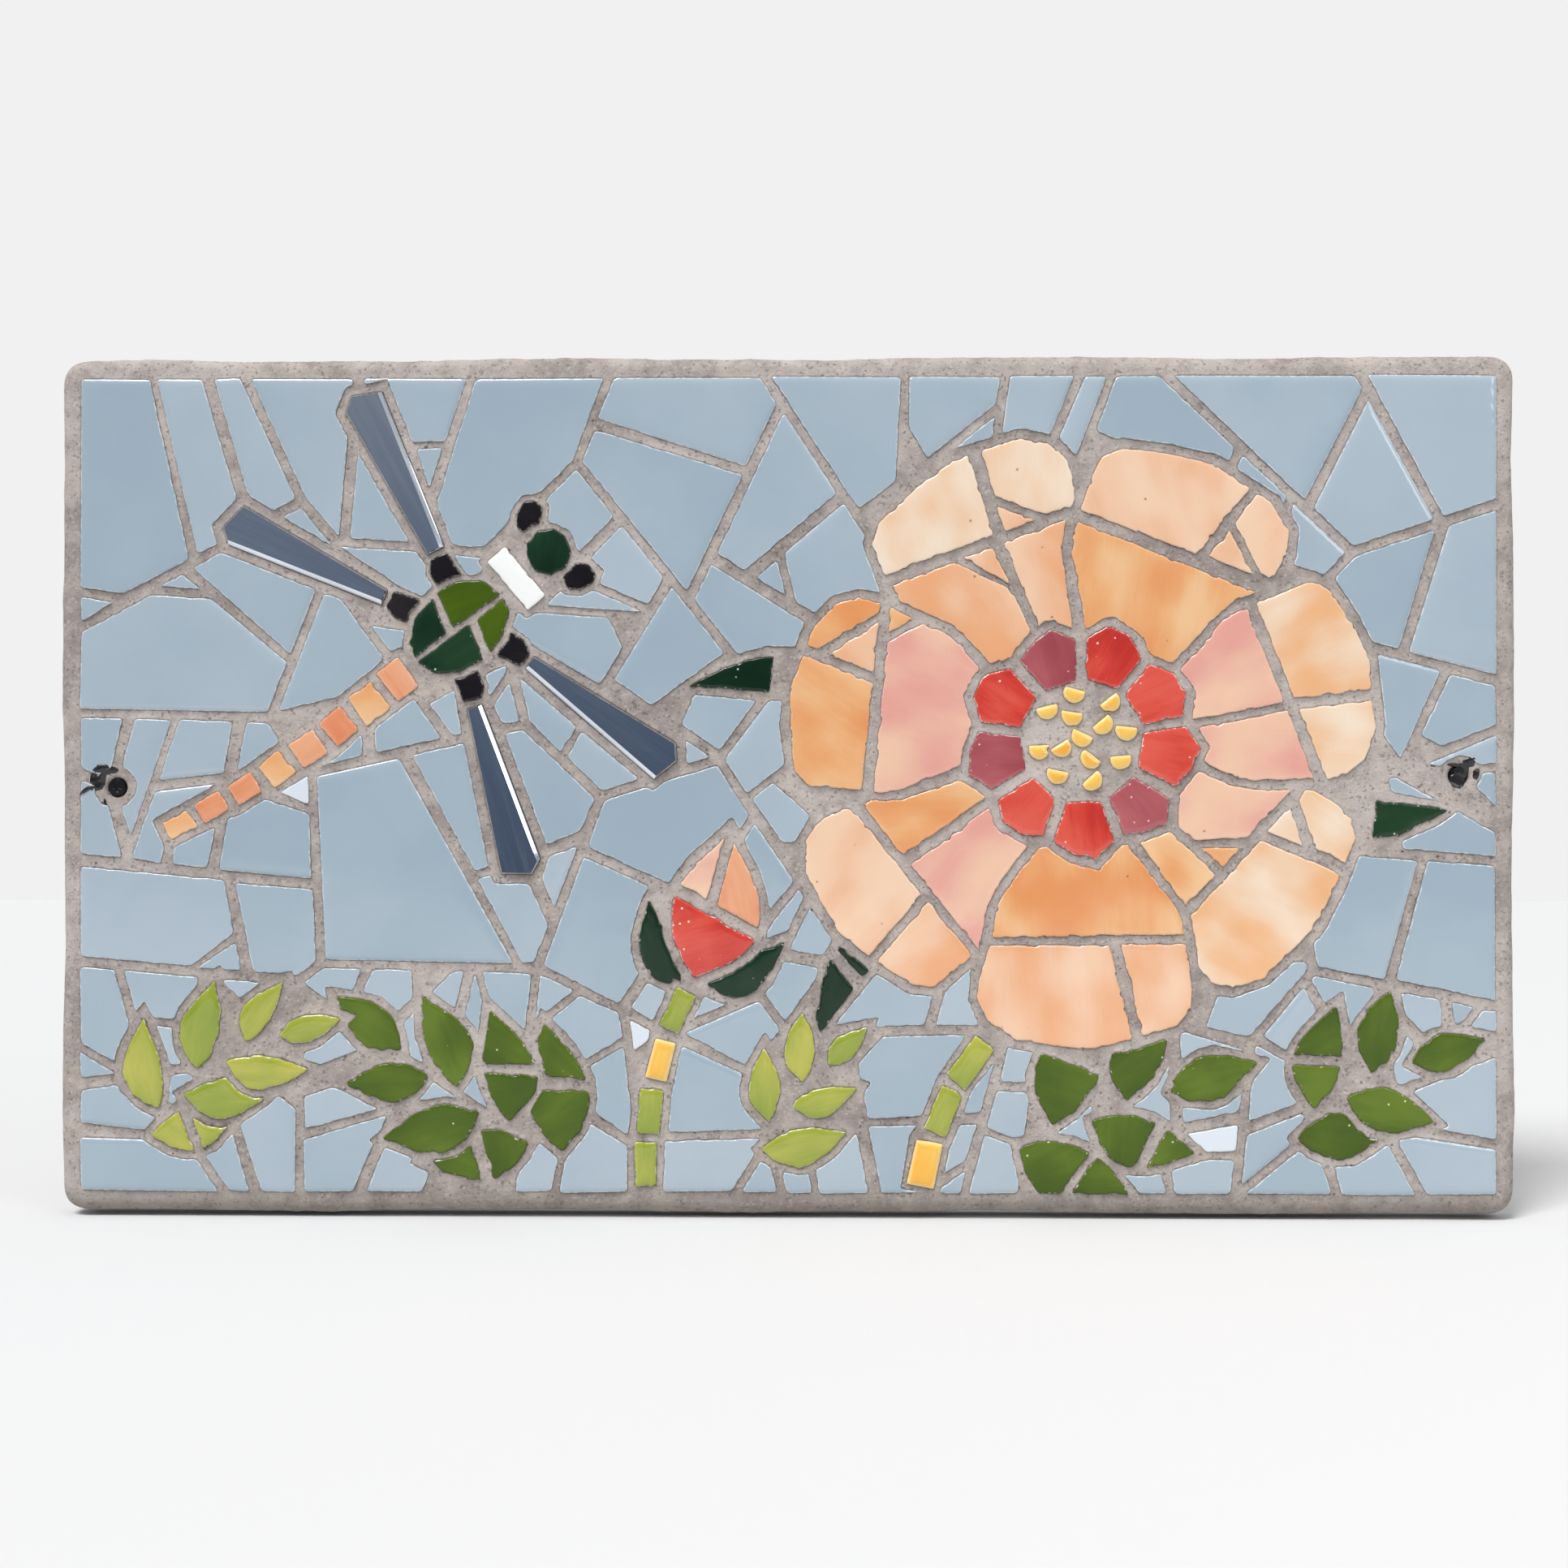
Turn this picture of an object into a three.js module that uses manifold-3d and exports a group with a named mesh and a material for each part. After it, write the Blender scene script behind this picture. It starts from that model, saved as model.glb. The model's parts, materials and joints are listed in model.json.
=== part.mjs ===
// A wall plaque: a picture of broken glazed tile and bevelled mirror, set and grouted in a cast mortar slab.
//
// The plaque is made lying on its back, as its maker works: X runs along it, Y up the picture and Z out of
// the wall, in millimetres, with the origin at the middle of the back. The last lines stand it upright, so
// the finished part has its back on the plane Y = 0, its picture facing -Y, and +Z up.
//
// Each tile is a straight-sided shard. The largest ones, and those that carry the picture, are pieces of
// their own in pockets of the slab. The many small ones are fused to the slab where they touch its bed.

import * as THREE from "three";
import { mergeVertices } from "three/addons/utils/BufferGeometryUtils.js";
import Module from "manifold-3d";

const wasm = await Module();
wasm.setup();

// ---- Driving dimensions, in millimetres and degrees ---------------------------------------------------

const SLAB = { width: 610, height: 360, depth: 18.5, corner: 10, rim: 6, rimSteps: 3, wave: 0.9 };
const BORDER = 10; // grout between the slab's edge and the outermost tiles
const JOINT = { narrow: 3.2, wide: 5.6, motif: 4, leaf: 3.4, fine: 2.8, overrun: 1.5 };
const TILE = { embed: 5, clearance: 0.3, smallest: 42, thinnest: 5.2, jitter: 0.4, tolerance: 0.55 };
const NIP = [12, 25]; // how far from a corner a nipped-off piece reaches
const SEPARATE_TILES = 56; // tiles that are pieces of their own; the others are fused to the slab
const SKY = { columns: 6, rows: 4, scatter: 0.36, near: [900, 2000], open: [30, 85], nipped: 0.3 };
const SCREW = {
  x: 280, left: -1, right: 4, clear: [18.8, 17], // their places, and the patch of grout around each
  head: 3.8, headHeight: 2.8, shank: 2, short: 0.5, // radii; the shank ends short of the back
  recess: 3.6, reach: 0.9, flare: 0.6, sides: 10,
};
const PAST = 5; // how far a cut runs past the surface that it opens

// Each tile stock has its own thickness, so its face stands at its own height above the joints.
const STOCKS = {
  sky: { stand: 1.3, colour: [0.4, 0.49, 0.58] },
  cream: { stand: 0.9, colour: [0.95, 0.69, 0.46] },
  peach: { stand: 1.0, colour: [0.93, 0.58, 0.37] },
  pink: { stand: 1.1, colour: [0.89, 0.51, 0.38] },
  orange: { stand: 0.8, colour: [0.86, 0.43, 0.2] },
  salmon: { stand: 1.2, colour: [0.83, 0.38, 0.22] },
  red: { stand: 1.4, colour: [0.7, 0.09, 0.065] },
  crimson: { stand: 0.7, colour: [0.43, 0.105, 0.125] },
  yellow: { stand: 2.2, colour: [0.92, 0.55, 0.12] },
  lime: { stand: 1.7, colour: [0.39, 0.43, 0.075] },
  leaf: { stand: 1.5, colour: [0.105, 0.16, 0.03] },
  dark_green: { stand: 1.6, colour: [0.019, 0.047, 0.027] },
  black: { stand: 1.8, colour: [0.018, 0.015, 0.019] },
  white: { stand: 1.9, colour: [0.98, 0.98, 0.94] },
  mirror: { stand: 2.0, colour: [0.62, 0.68, 0.74], metalness: 1, roughness: 0.05 },
};
const MORTAR = { colour: [0.33, 0.29, 0.26], roughness: 0.95 };
const BLACKED_STEEL = { colour: [0.02, 0.02, 0.02], roughness: 0.4 };

const FLOWER = {
  x: 124, y: 18, patch: 24, heart: 45, radius: 127, petals: 7, halfWidth: 54, turn: 14,
  ring: ["red", "red", "crimson", "red", "crimson", "red", "red", "crimson", "red"],
  order: [0, 3, 5, 1, 4, 6, 2], // the petals in front first
  outer: ["cream", "peach", "cream", "orange", "cream", "peach", "cream"],
  inner: ["pink", "pink", "peach", "pink", "pink", "orange", "pink"],
};
const SEEDS = { radius: 4.7, rings: [[0, 1], [9.8, 4], [18.5, 8]] }; // half-moons: [ring radius, how many]
const FLY = { x: -136, y: 66, heading: 40, thorax: [46, 34], wing: [74, 7, 18], bar: [12, 4], bars: 8 };
const SPRAYS = [ // each [stock, root, bend, tip, leaflets, leaflet length, half width]
  ["lime", [-276, -168], [-262, -120], [-214, -106], 7, 44, 9.5],
  ["leaf", [-70, -166], [-110, -150], [-158, -112], 7, 52, 12.5],
  ["leaf", [70, -158], [104, -146], [158, -128], 5, 58, 14.5],
  ["leaf", [200, -168], [210, -132], [258, -116], 5, 46, 11],
  ["lime", [-20, -168], [-8, -140], [16, -118], 5, 38, 8.5],
];

// ---- Chance: a fixed seed, so that the plaque is the same each time --------------------------------------

let state = 57;
function random() {
  state = (state + 0x6d2b79f5) | 0;
  let t = Math.imul(state ^ (state >>> 15), 1 | state);
  t = (t + Math.imul(t ^ (t >>> 7), 61 | t)) ^ t;
  return ((t ^ (t >>> 14)) >>> 0) / 4294967296;
}
const between = (low, high) => low + (high - low) * random();

// ---- Flat outlines: lists of points, counter-clockwise ---------------------------------------------------

const point = (x, y) => new THREE.Vector2(x, y);
const polar = (angle, radius) => point(radius * Math.cos(angle), radius * Math.sin(angle));
const radians = THREE.MathUtils.degToRad;
const steps = (count, make) => Array.from({ length: count }, (_, i) => make(i));

/** Carries points drawn along their own X axis to (x, y), turned by an angle. */
const place = (points, x, y, angle) =>
  points.map((p) => p.clone().rotateAround(point(0, 0), angle).add(point(x, y)));
const following = (outline, i) => outline[(i + 1) % outline.length];

const area = (outline) => THREE.ShapeUtils.area(outline);

function middle(outline) {
  const sum = outline.reduce((total, p) => total.add(p), point(0, 0));
  return sum.divideScalar(outline.length);
}

/** The outline moved outwards by a distance, with mitred corners. */
function grown(outline, distance) {
  return outline.map((p, i) => {
    const before = p.clone().sub(outline.at(i - 1)).normalize();
    const after = following(outline, i).clone().sub(p).normalize();
    const normal = point(before.y + after.y, -before.x - after.x).normalize();
    const mitre = Math.max(normal.x * before.y - normal.y * before.x, 0.5);
    return p.clone().addScaledVector(normal, distance / mitre);
  });
}

/** How far a point is from the straight line between two others. */
function offLine(p, from, to) {
  const along = to.clone().sub(from);
  return Math.abs(along.cross(p.clone().sub(from))) / Math.max(along.length(), 1e-9);
}

/** Leaves out points that hardly bend the outline, crowd their neighbours or end a thin spike. */
function simplified(outline, tolerance) {
  const kept = [...outline];
  while (kept.length > 3) {
    const off = kept.map((p, i) => {
      const [before, after] = [kept.at(i - 1), following(kept, i)];
      const acute = before.clone().sub(p).dot(after.clone().sub(p)) > 0;
      const spike = acute ? 0.4 * Math.min(offLine(before, p, after), offLine(after, p, before)) : Infinity;
      return Math.min(offLine(p, before, after), 0.3 * p.distanceTo(before), spike);
    });
    const least = off.indexOf(Math.min(...off));
    if (off[least] > tolerance) break;
    kept.splice(least, 1);
  }
  return kept;
}

/** The outline with each corner moved a little, as hand-nipped corners lie. */
function nudged(outline) {
  return outline.map((p, i) => {
    const nearest = Math.min(p.distanceTo(outline.at(i - 1)), p.distanceTo(following(outline, i)));
    const reach = Math.min(TILE.jitter, nearest / 12);
    return p.clone().add(point(between(-reach, reach), between(-reach, reach)));
  });
}

/** The convex hull of some points. */
function hull(points) {
  const sorted = [...points].sort((a, b) => a.x - b.x || a.y - b.y);
  const turns = (a, b, c) => b.clone().sub(a).cross(c.clone().sub(b)) > 0;
  const half = (list) => {
    const chain = [];
    for (const p of list) {
      while (chain.length > 1 && !turns(chain.at(-2), chain.at(-1), p)) chain.pop();
      chain.push(p);
    }
    return chain.slice(0, -1);
  };
  return [...half(sorted), ...half(sorted.reverse())];
}

/** A long shape from its root along X: its half width is a profile of how far along it is, from 0 to 1. */
function lobe(length, halfWidth, profile, { bend = 0, count = 8, ruffle = 0 } = {}) {
  const spine = (t) => place([point(t * length, 0)], 0, 0, bend * (t - 0.5))[0];
  const wavy = (t, sign) => 1 + ruffle * Math.sin(13 * t + 2.6 * sign);
  const out = (t, sign) => sign * halfWidth * profile(t) * wavy(t, sign);
  const side = (t, sign) => spine(t * wavy(t, -sign) ** 0.5).add(point(0, out(t, sign)));
  const right = steps(count, (i) => side((i + 0.25) / count, -1));
  const left = steps(count, (i) => side((count - i - 0.25) / count, 1));
  return [spine(0), ...right, spine(1), ...left];
}
const petalProfile = (t) => 1.3 * Math.sqrt(t) * Math.sqrt(1 - t ** 5);
const leafProfile = (t) => Math.sin(Math.PI * t ** 0.85);

const bar = (length, width) => [
  point(-length / 2, -width / 2), point(length / 2, -width / 2),
  point(length / 2, width / 2), point(-length / 2, width / 2),
];
const oval = (length, width, count) =>
  steps(count, (i) => polar((2 * Math.PI * i) / count, 1).multiply(point(length / 2, width / 2)));

// ---- Solids ----------------------------------------------------------------------------------------------

/** A straight-sided block over an outline, between two heights. */
function upright(outline, low, high) {
  const shape = new THREE.Shape(outline);
  return new THREE.ExtrudeGeometry(shape, { depth: high - low, bevelEnabled: false }).translate(0, 0, low);
}

/** A closed three.js geometry as a solid that can be cut and joined. */
function solid(geometry) {
  geometry.deleteAttribute("normal");
  geometry.deleteAttribute("uv");
  const merged = mergeVertices(geometry, 1e-4);
  const vertProperties = merged.attributes.position.array;
  return new wasm.Manifold(new wasm.Mesh({ numProp: 3, vertProperties, triVerts: merged.index.array }));
}

/** Such a block as a solid that can be cut and joined. */
function plate(outline, low = 0, high = 1) {
  return solid(upright(outline, low, high));
}

/** A crack from one point to another, as wide as a joint and wider at one end. */
function crack(from, to, overrun = JOINT.overrun, scale = 1) {
  const along = to.clone().sub(from).normalize();
  const across = point(-along.y, along.x);
  const a = from.clone().addScaledVector(along, -overrun);
  const b = to.clone().addScaledVector(along, overrun);
  const [wa, wb] = [0, 1].map(() => (scale * between(JOINT.narrow, JOINT.wide)) / 2);
  const corner = (p, offset) => p.clone().addScaledVector(across, offset);
  return [corner(a, -wa), corner(b, -wb), corner(b, wb), corner(a, wa)];
}

const union = (solids) => wasm.Manifold.union(solids);

/** The outline of a plate's upper face, counter-clockwise, the longest one first if it has holes. */
function outlinesOf(piece) {
  const { vertProperties: v, triVerts } = piece.getMesh();
  const next = new Map();
  const edges = new Set();
  for (let i = 0; i < triVerts.length; i += 3) {
    const corners = [triVerts[i], triVerts[i + 1], triVerts[i + 2]];
    if (corners.every((c) => v[3 * c + 2] > 0.5))
      corners.forEach((c, k) => edges.add(`${c} ${corners[(k + 1) % 3]}`));
  }
  for (const edge of edges) {
    const [a, b] = edge.split(" ").map(Number);
    if (!edges.has(`${b} ${a}`)) next.set(a, b);
  }
  const loops = [];
  while (next.size) {
    const loop = [];
    for (let at = next.keys().next().value; next.has(at); ) {
      loop.push(point(v[3 * at], v[3 * at + 1]));
      const to = next.get(at);
      next.delete(at);
      at = to;
    }
    loops.push(loop);
  }
  return loops.sort((a, b) => Math.abs(area(b)) - Math.abs(area(a)));
}

// ---- Laying the tiles ------------------------------------------------------------------------------------

const tiles = []; // each { group, stock, outline, rank }
const fieldOutline = bar(SLAB.width - 2 * BORDER, SLAB.height - 2 * BORDER);
const field = plate(fieldOutline); // where tiles may lie
let taken = union([]); // where tiles and their joints already lie

/** Keeps a patch of plain grout free of later tiles. */
function keepClear(outline) {
  taken = taken.add(plate(outline));
}

/** Adds each shard of a piece that is big enough to be a tile; the rest stays grout. */
function addShards(group, stock, piece, choice = {}) {
  const { rank = 1, smallest = TILE.smallest, tolerance = TILE.tolerance } = choice;
  for (const part of piece.decompose()) {
    const outline = simplified(outlinesOf(part)[0], tolerance);
    const round = outline.reduce((sum, p, i) => sum + p.distanceTo(outline.at(i - 1)), 0);
    const across = (4 * area(outline)) / round;
    if (area(outline) < smallest || across < Math.min(TILE.thinnest, Math.sqrt(smallest))) continue;
    const named = typeof stock === "function" ? stock(middle(outline)) : stock;
    tiles.push({ group, stock: named, outline: nudged(outline), rank: area(outline) * rank });
  }
}

/** The crack of a corner that was nipped off and set beside its shard: the corner between long sides. */
function nippedCorner(outline) {
  const room = outline.map((p, i) => {
    const before = p.clone().sub(outline.at(i - 1));
    const after = following(outline, i).clone().sub(p);
    return before.cross(after) > 0 ? Math.min(before.length(), after.length()) : 0;
  });
  const i = room.indexOf(Math.max(...room));
  const toward = (q) => {
    const reach = Math.min(between(...NIP), 0.8 * room[i]);
    return outline[i].clone().add(q.clone().sub(outline[i]).setLength(reach));
  };
  return crack(toward(outline.at(i - 1)), toward(following(outline, i)), 0.5, 0.8);
}

/** Lays a motif's piece: what is free of its outline, broken along its cracks; then its place is taken. */
function lay(group, stock, outline, { cracks = [], joint = JOINT.motif, nipped = 0, ...choice } = {}) {
  const broken = plate(outline).intersect(field).subtract(union([taken, ...cracks.map((c) => plate(c))]));
  for (const part of broken.decompose()) {
    const nips = random() < nipped ? [nippedCorner(simplified(outlinesOf(part)[0], TILE.tolerance))] : [];
    addShards(group, stock, part.subtract(union(nips.map((c) => plate(c)))), choice);
  }
  taken = taken.add(plate(grown(outline, joint)));
}

/** Lays bars along a curve, from its start. */
function layBars(group, stocks, curve, length, width, rank = 1) {
  const count = Math.floor(curve.getLength() / (length + JOINT.narrow));
  steps(count, (i) => {
    const t = (i + 0.5) / count;
    const p = curve.getPointAt(t);
    const size = (curve.getLength() / count - JOINT.narrow) * between(0.9, 1.04);
    const angle = curve.getTangentAt(t).angle() + between(-0.08, 0.08);
    const shape = place(bar(size, width(t) * between(0.92, 1.06)), p.x, p.y, angle);
    lay(group, stocks[i % stocks.length], shape, { rank, joint: JOINT.fine, smallest: 30 });
  });
}

/** Lays a leaf from its root, broken across in one place if it is long. */
function layLeaf(stock, root, angle, length, halfWidth, bend = 0) {
  const at = between(0.4, 0.58) * length;
  const across = [point(at, -2 * halfWidth), point(at + between(-7, 9), 2 * halfWidth)];
  const cracks = length > 43 ? [crack(...place(across, root.x, root.y, angle))] : [];
  const outline = lobe(length, halfWidth, leafProfile, { bend });
  lay("leaf", stock, place(outline, root.x, root.y, angle), { cracks, rank: 1.6, joint: JOINT.leaf });
}

/** Lays leaflets to both sides of a curved rib, smaller towards its tip, with one leaflet at the end. */
function laySpray([stock, root, bend, tip, leaflets, length, halfWidth]) {
  const rib = new THREE.QuadraticBezierCurve(point(...root), point(...bend), point(...tip));
  steps(leaflets, (i) => {
    const t = i ? 0.98 - (0.86 * i) / leaflets : 1;
    const side = i ? (i % 2 ? 1 : -1) : 0;
    const size = (1.08 - 0.42 * t) * between(0.9, 1.08);
    const angle = rib.getTangentAt(t).angle() + side * between(0.72, 1.02);
    const start = rib.getPointAt(t).add(polar(angle, 2.5));
    layLeaf(stock, start, angle, length * size, halfWidth * size, side * between(-0.45, -0.1));
  });
}

// ---- The motifs ------------------------------------------------------------------------------------------

function laySeeds() {
  const { x, y, patch } = FLOWER;
  const moon = steps(8, (i) => polar(radians(-197 + 30.5 * i), SEEDS.radius));
  for (const [distance, count] of SEEDS.rings)
    steps(count, (i) => {
      const p = polar((2 * Math.PI * (i + 0.3)) / count + between(-0.12, 0.12), distance);
      const shape = place(moon, x + p.x, y + p.y + SEEDS.radius / 2, between(-0.75, 0.75));
      lay("seed", "yellow", shape, { joint: 1.2, smallest: 18, tolerance: 0.15 });
    });
  keepClear(place(oval(2 * patch, 2 * patch, 20), x, y, 0));
}

function layHeart() {
  const { x, y, patch, heart, ring } = FLOWER;
  const slice = (2 * Math.PI) / ring.length;
  const gap = JOINT.motif / 2 / heart;
  ring.forEach((stock, i) => {
    const [from, to] = [slice * i + gap, slice * (i + 1) - gap * between(0.8, 1.6)];
    const outer = steps(4, (k) => polar(from + ((to - from) * k) / 3, heart + (k % 3 ? between(1, 5) : -2)));
    const inner = [to - gap * 0.6, from + gap * 0.6].map((angle) => polar(angle, patch + between(1, 3)));
    const shape = place([...outer, ...inner], x, y, 0.2);
    lay("heart", stock, shape, { rank: 8, joint: 3.6 });
  });
}

function layPetals() {
  const { x, y, heart, radius, petals, halfWidth, order, outer, inner } = FLOWER;
  for (const k of order) {
    const angle = radians(FLOWER.turn) + (2 * Math.PI * k) / petals;
    const [start, size] = [heart - 12, (radius - heart + 12) * between(0.95, 1.03)];
    const local = (points) => place(place(points, start, 0, 0), x, y, angle);
    const wide = (halfWidth / 1.3) * between(0.97, 1.1);
    const outline = lobe(size, wide, petalProfile, { bend: between(-0.12, 0.12), count: 12, ruffle: 0.045 });
    const split = size * between(0.5, 0.62);
    const [lean, outerSide, innerSide] = [between(-9, 9), between(-14, 14), between(-9, 9)];
    const cracks = [
      [point(split - lean, -60), point(split + lean, 60)],
      [point(split, outerSide), point(size + 4, outerSide * 1.9)],
    ];
    if (k % 2 === 0) cracks.push([point(0, innerSide * 0.5), point(split, innerSide)]);
    const stock = (p) => {
      const far = p.distanceTo(point(x, y)) > start + split;
      return random() < 0.2 ? (far ? "peach" : "orange") : far ? outer[k] : inner[k];
    };
    const broken = cracks.map((ends) => crack(...local(ends)));
    lay("petal", stock, local(outline), { cracks: broken, rank: 4, nipped: 0.4 });
  }
}

function layDragonfly() {
  const { x, y, thorax, wing } = FLY;
  const heading = radians(FLY.heading);
  const local = (points, along = 0, across = 0, turn = 0) =>
    place(place(points, along, across, turn), x, y, heading);
  const [half, joint] = [thorax[0] / 2, JOINT.fine];

  const broken = [
    [point(-half, 1), point(half, -2)],
    [point(6, -1), point(0, -20)],
    [point(-4, 1), point(2, 20)],
  ];
  const cracks = broken.map((ends) => crack(...local(ends), JOINT.overrun, 0.8));
  const green = (p) => (p.x + p.y > x + y - 4 ? "leaf" : "dark_green");
  lay("dragonfly_body", green, local(oval(...thorax, 12)), { cracks, rank: 6, joint });
  lay("dragonfly_body", "white", local(bar(10, 26), half + 8.5), { rank: 12, joint });
  lay("dragonfly_head", "dark_green", local(oval(19, 19, 9), half + 26), { rank: 6, joint });
  for (const side of [-1, 1]) {
    const eye = local(oval(15, 11, 8), half + 29, side * 16, side * 0.5);
    lay("dragonfly_eye", "black", eye, { rank: 6, joint });
  }

  for (const side of [-1, 1])
    for (const [along, spread] of [[9, 76], [-9, 114]]) {
      const turn = side * radians(spread);
      const out = (distance) => polar(turn, distance).add(point(along, side * (thorax[1] / 2 - 3)));
      const [root, glassRoot] = [out(2), out(17)];
      const stub = [point(0, -5.5), point(12.5, -4), point(13, 3), point(8, 6), point(0, 5.5)];
      lay("wing_root", "black", local(stub, root.x, root.y, turn), { rank: 2, joint: 2, smallest: 30 });
      const glass = [
        point(0, -wing[1] / 2), point(wing[0] * 0.95, -wing[2] / 2), point(wing[0], wing[2] * 0.18),
        point(wing[0] * 0.93, wing[2] / 2), point(0, wing[1] / 2),
      ];
      lay("wing", "mirror", local(glass, glassRoot.x, glassRoot.y, turn), { rank: 20 });
    }

  const [length, gap] = FLY.bar;
  const reach = FLY.bars * (length + gap);
  const spine = [point(-half - 3, 0), point(-half - reach / 2, -2), point(-half - reach, 14)];
  const tail = new THREE.QuadraticBezierCurve(...local(spine));
  layBars("tail", ["salmon", "orange", "salmon"], tail, length, (t) => 16 - 8 * t, 2);
}

function layStems() {
  const stem = (...ends) => new THREE.QuadraticBezierCurve(...ends.map(([px, py]) => point(px, py)));
  layBars("stem", ["lime", "lime", "yellow"], stem([84, -106], [64, -132], [56, -169]), 17, () => 11);
  layBars("stem", ["lime", "yellow", "lime"], stem([-40, -84], [-58, -120], [-58, -169]), 15, () => 9.5);
}

function layBud() {
  const root = point(-38, -80);
  const angle = radians(70);
  const local = (points) => place(points, root.x, root.y, angle);
  const broken = [[point(24, -30), point(34, 30)], [point(30, 3), point(70, 6)]];
  const cracks = broken.map((ends) => crack(...local(ends)));
  const stock = (p) => (p.y < root.y + 26 ? "red" : p.x < root.x + 12 ? "pink" : "salmon");
  lay("bud", stock, local(lobe(62, 19, leafProfile, { bend: 0.2 })), { cracks, rank: 3 });
  for (const side of [-1, 1]) {
    const start = root.clone().add(point(side * 5, -4));
    layLeaf("dark_green", start, angle - side * 0.95, 38, 7.5, side * 0.5);
  }
}

function layLeaves() {
  SPRAYS.forEach(laySpray);
  const { x, y, radius } = FLOWER;
  for (const [degrees, length] of [[166, 42], [222, 44], [-16, 30]]) {
    const angle = radians(degrees);
    const start = polar(angle, radius - 26).add(point(x, y));
    layLeaf("dark_green", start, angle + 0.12, length + 24, 8, 0.3);
  }
}

// ---- The sky: the field that the motifs leave, broken by cracks ------------------------------------------

/** Cuts a convex outline in two by a line through a point: the part to its left, the part to its right. */
function halves(outline, through, along) {
  const side = (p) => along.cross(p.clone().sub(through));
  const parts = [[], []];
  const ends = [];
  outline.forEach((p, i) => {
    const q = following(outline, i);
    const [a, b] = [side(p), side(q)];
    parts[a > 0 ? 0 : 1].push(p);
    if (a > 0 !== b > 0) {
      const cut = p.clone().lerp(q, a / (a - b));
      ends.push(cut);
      for (const part of parts) part.push(cut);
    }
  });
  return { parts, ends };
}

/** Splits an outline into the cells nearest to each of some scattered points, with a joint between cells. */
function cellsOf(outline) {
  const [w, h] = [SLAB.width / SKY.columns, SLAB.height / SKY.rows];
  const scattered = () => between(-SKY.scatter, SKY.scatter);
  const sites = steps(SKY.columns * SKY.rows, (i) => {
    const column = (i % SKY.columns) + 0.5 - SKY.columns / 2;
    const row = Math.floor(i / SKY.columns) + 0.5 - SKY.rows / 2;
    return point((column + scattered()) * w, (row + scattered()) * h);
  });
  return sites.map((site) => {
    let cell = outline;
    for (const other of sites.filter((s) => s !== site)) {
      const apart = other.clone().sub(site);
      const edge = site.clone().addScaledVector(apart, 0.5 - JOINT.motif / 2 / apart.length());
      cell = halves(cell, edge, point(-apart.y, apart.x)).parts[0];
    }
    return cell;
  });
}

/** The cracks that break a convex stretch of sky into shards, smaller ones near the motifs. */
function skyCracks(outline, motifs) {
  const centre = middle(outline);
  const open = Math.min(90, ...motifs.map((p) => p.distanceTo(centre)));
  if (area(outline) < between(...SKY.near) + open * between(...SKY.open))
    return random() < SKY.nipped ? [nippedCorner(outline)] : [];
  const sides = outline.map((p, i) => following(outline, i).clone().sub(p));
  const longest = sides.reduce((best, side) => (side.length() > best.length() ? side : best));
  const along = point(-longest.y, longest.x).rotateAround(point(0, 0), radians(between(-30, 30)));
  const spread = Math.sqrt(area(outline)) * 0.13;
  const through = centre.clone().add(point(between(-spread, spread), between(-spread, spread)));
  const { parts, ends } = halves(outline, through, along.normalize());
  return [crack(...ends), ...parts.flatMap((part) => skyCracks(part, motifs))];
}

/** Breaks a hooked shard through its deepest inward corner, as a shard like that would break. */
function breakHooks(piece) {
  const [outline, hole] = outlinesOf(piece);
  const round = simplified(outline, TILE.tolerance);
  const rim = hull(round);
  const depths = round.map((p) => Math.min(...rim.map((q, i) => offLine(p, q, following(rim, i)))));
  const deepest = depths.indexOf(Math.max(...depths));
  if (!hole && (depths[deepest] < 5.5 || area(round) > 0.93 * area(rim))) return [piece];
  const start = hole ? middle(hole) : round[deepest];
  const before = round.at(deepest - 1).clone().sub(start).normalize();
  const after = following(round, deepest).clone().sub(start).normalize();
  const inwards = before.add(after).negate().rotateAround(point(0, 0), between(-0.3, 0.3)).normalize();
  const cut = crack(start, start.clone().addScaledVector(inwards, 300));
  const broken = piece.subtract(plate(cut)).decompose();
  return hole || broken.length > 1 ? broken.flatMap(breakHooks) : [piece];
}

function laySky() {
  for (const [x, y] of [[-SCREW.x, SCREW.left], [SCREW.x, SCREW.right]])
    keepClear(place(oval(...SCREW.clear, 10), x, y, 0.3));
  const motifs = tiles.flatMap((tile) => tile.outline);
  for (const cell of cellsOf(fieldOutline)) {
    const cracks = skyCracks(cell, motifs).map((c) => plate(c));
    const broken = plate(cell).subtract(union([taken, ...cracks]));
    for (const piece of broken.decompose().flatMap(breakHooks)) addShards("sky", "sky", piece);
  }
}

// ---- The slab, the screws and the assembly ---------------------------------------------------------------

/** The slab's outline: round corners, and sides that the trowel left a little wavy. */
function slabOutline() {
  const [w, h, r] = [SLAB.width / 2 - SLAB.corner, SLAB.height / 2 - SLAB.corner, SLAB.corner];
  const sway = (s) => SLAB.wave * (Math.sin(s / 31) + 0.6 * Math.sin(s / 13 + 1)) / 1.6 - SLAB.wave;
  const quarter = Math.PI / 2;
  return [[w, h], [-w, h], [-w, -h], [w, -h]].flatMap(([cx, cy], k) => {
    const [reach, length, count] = k % 2 ? [h, w, 16] : [w, h, 9];
    const along = (i) => ((i + 1) / (count + 1) - 0.5) * 2 * length;
    const side = steps(count, (i) => point(reach + r + sway(along(i) + 150 * k), along(i)));
    const corner = steps(5, (i) => polar(quarter * (k + i / 4), r - SLAB.wave).add(point(cx, cy)));
    return [...place(side, 0, 0, quarter * k), ...corner];
  });
}

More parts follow.
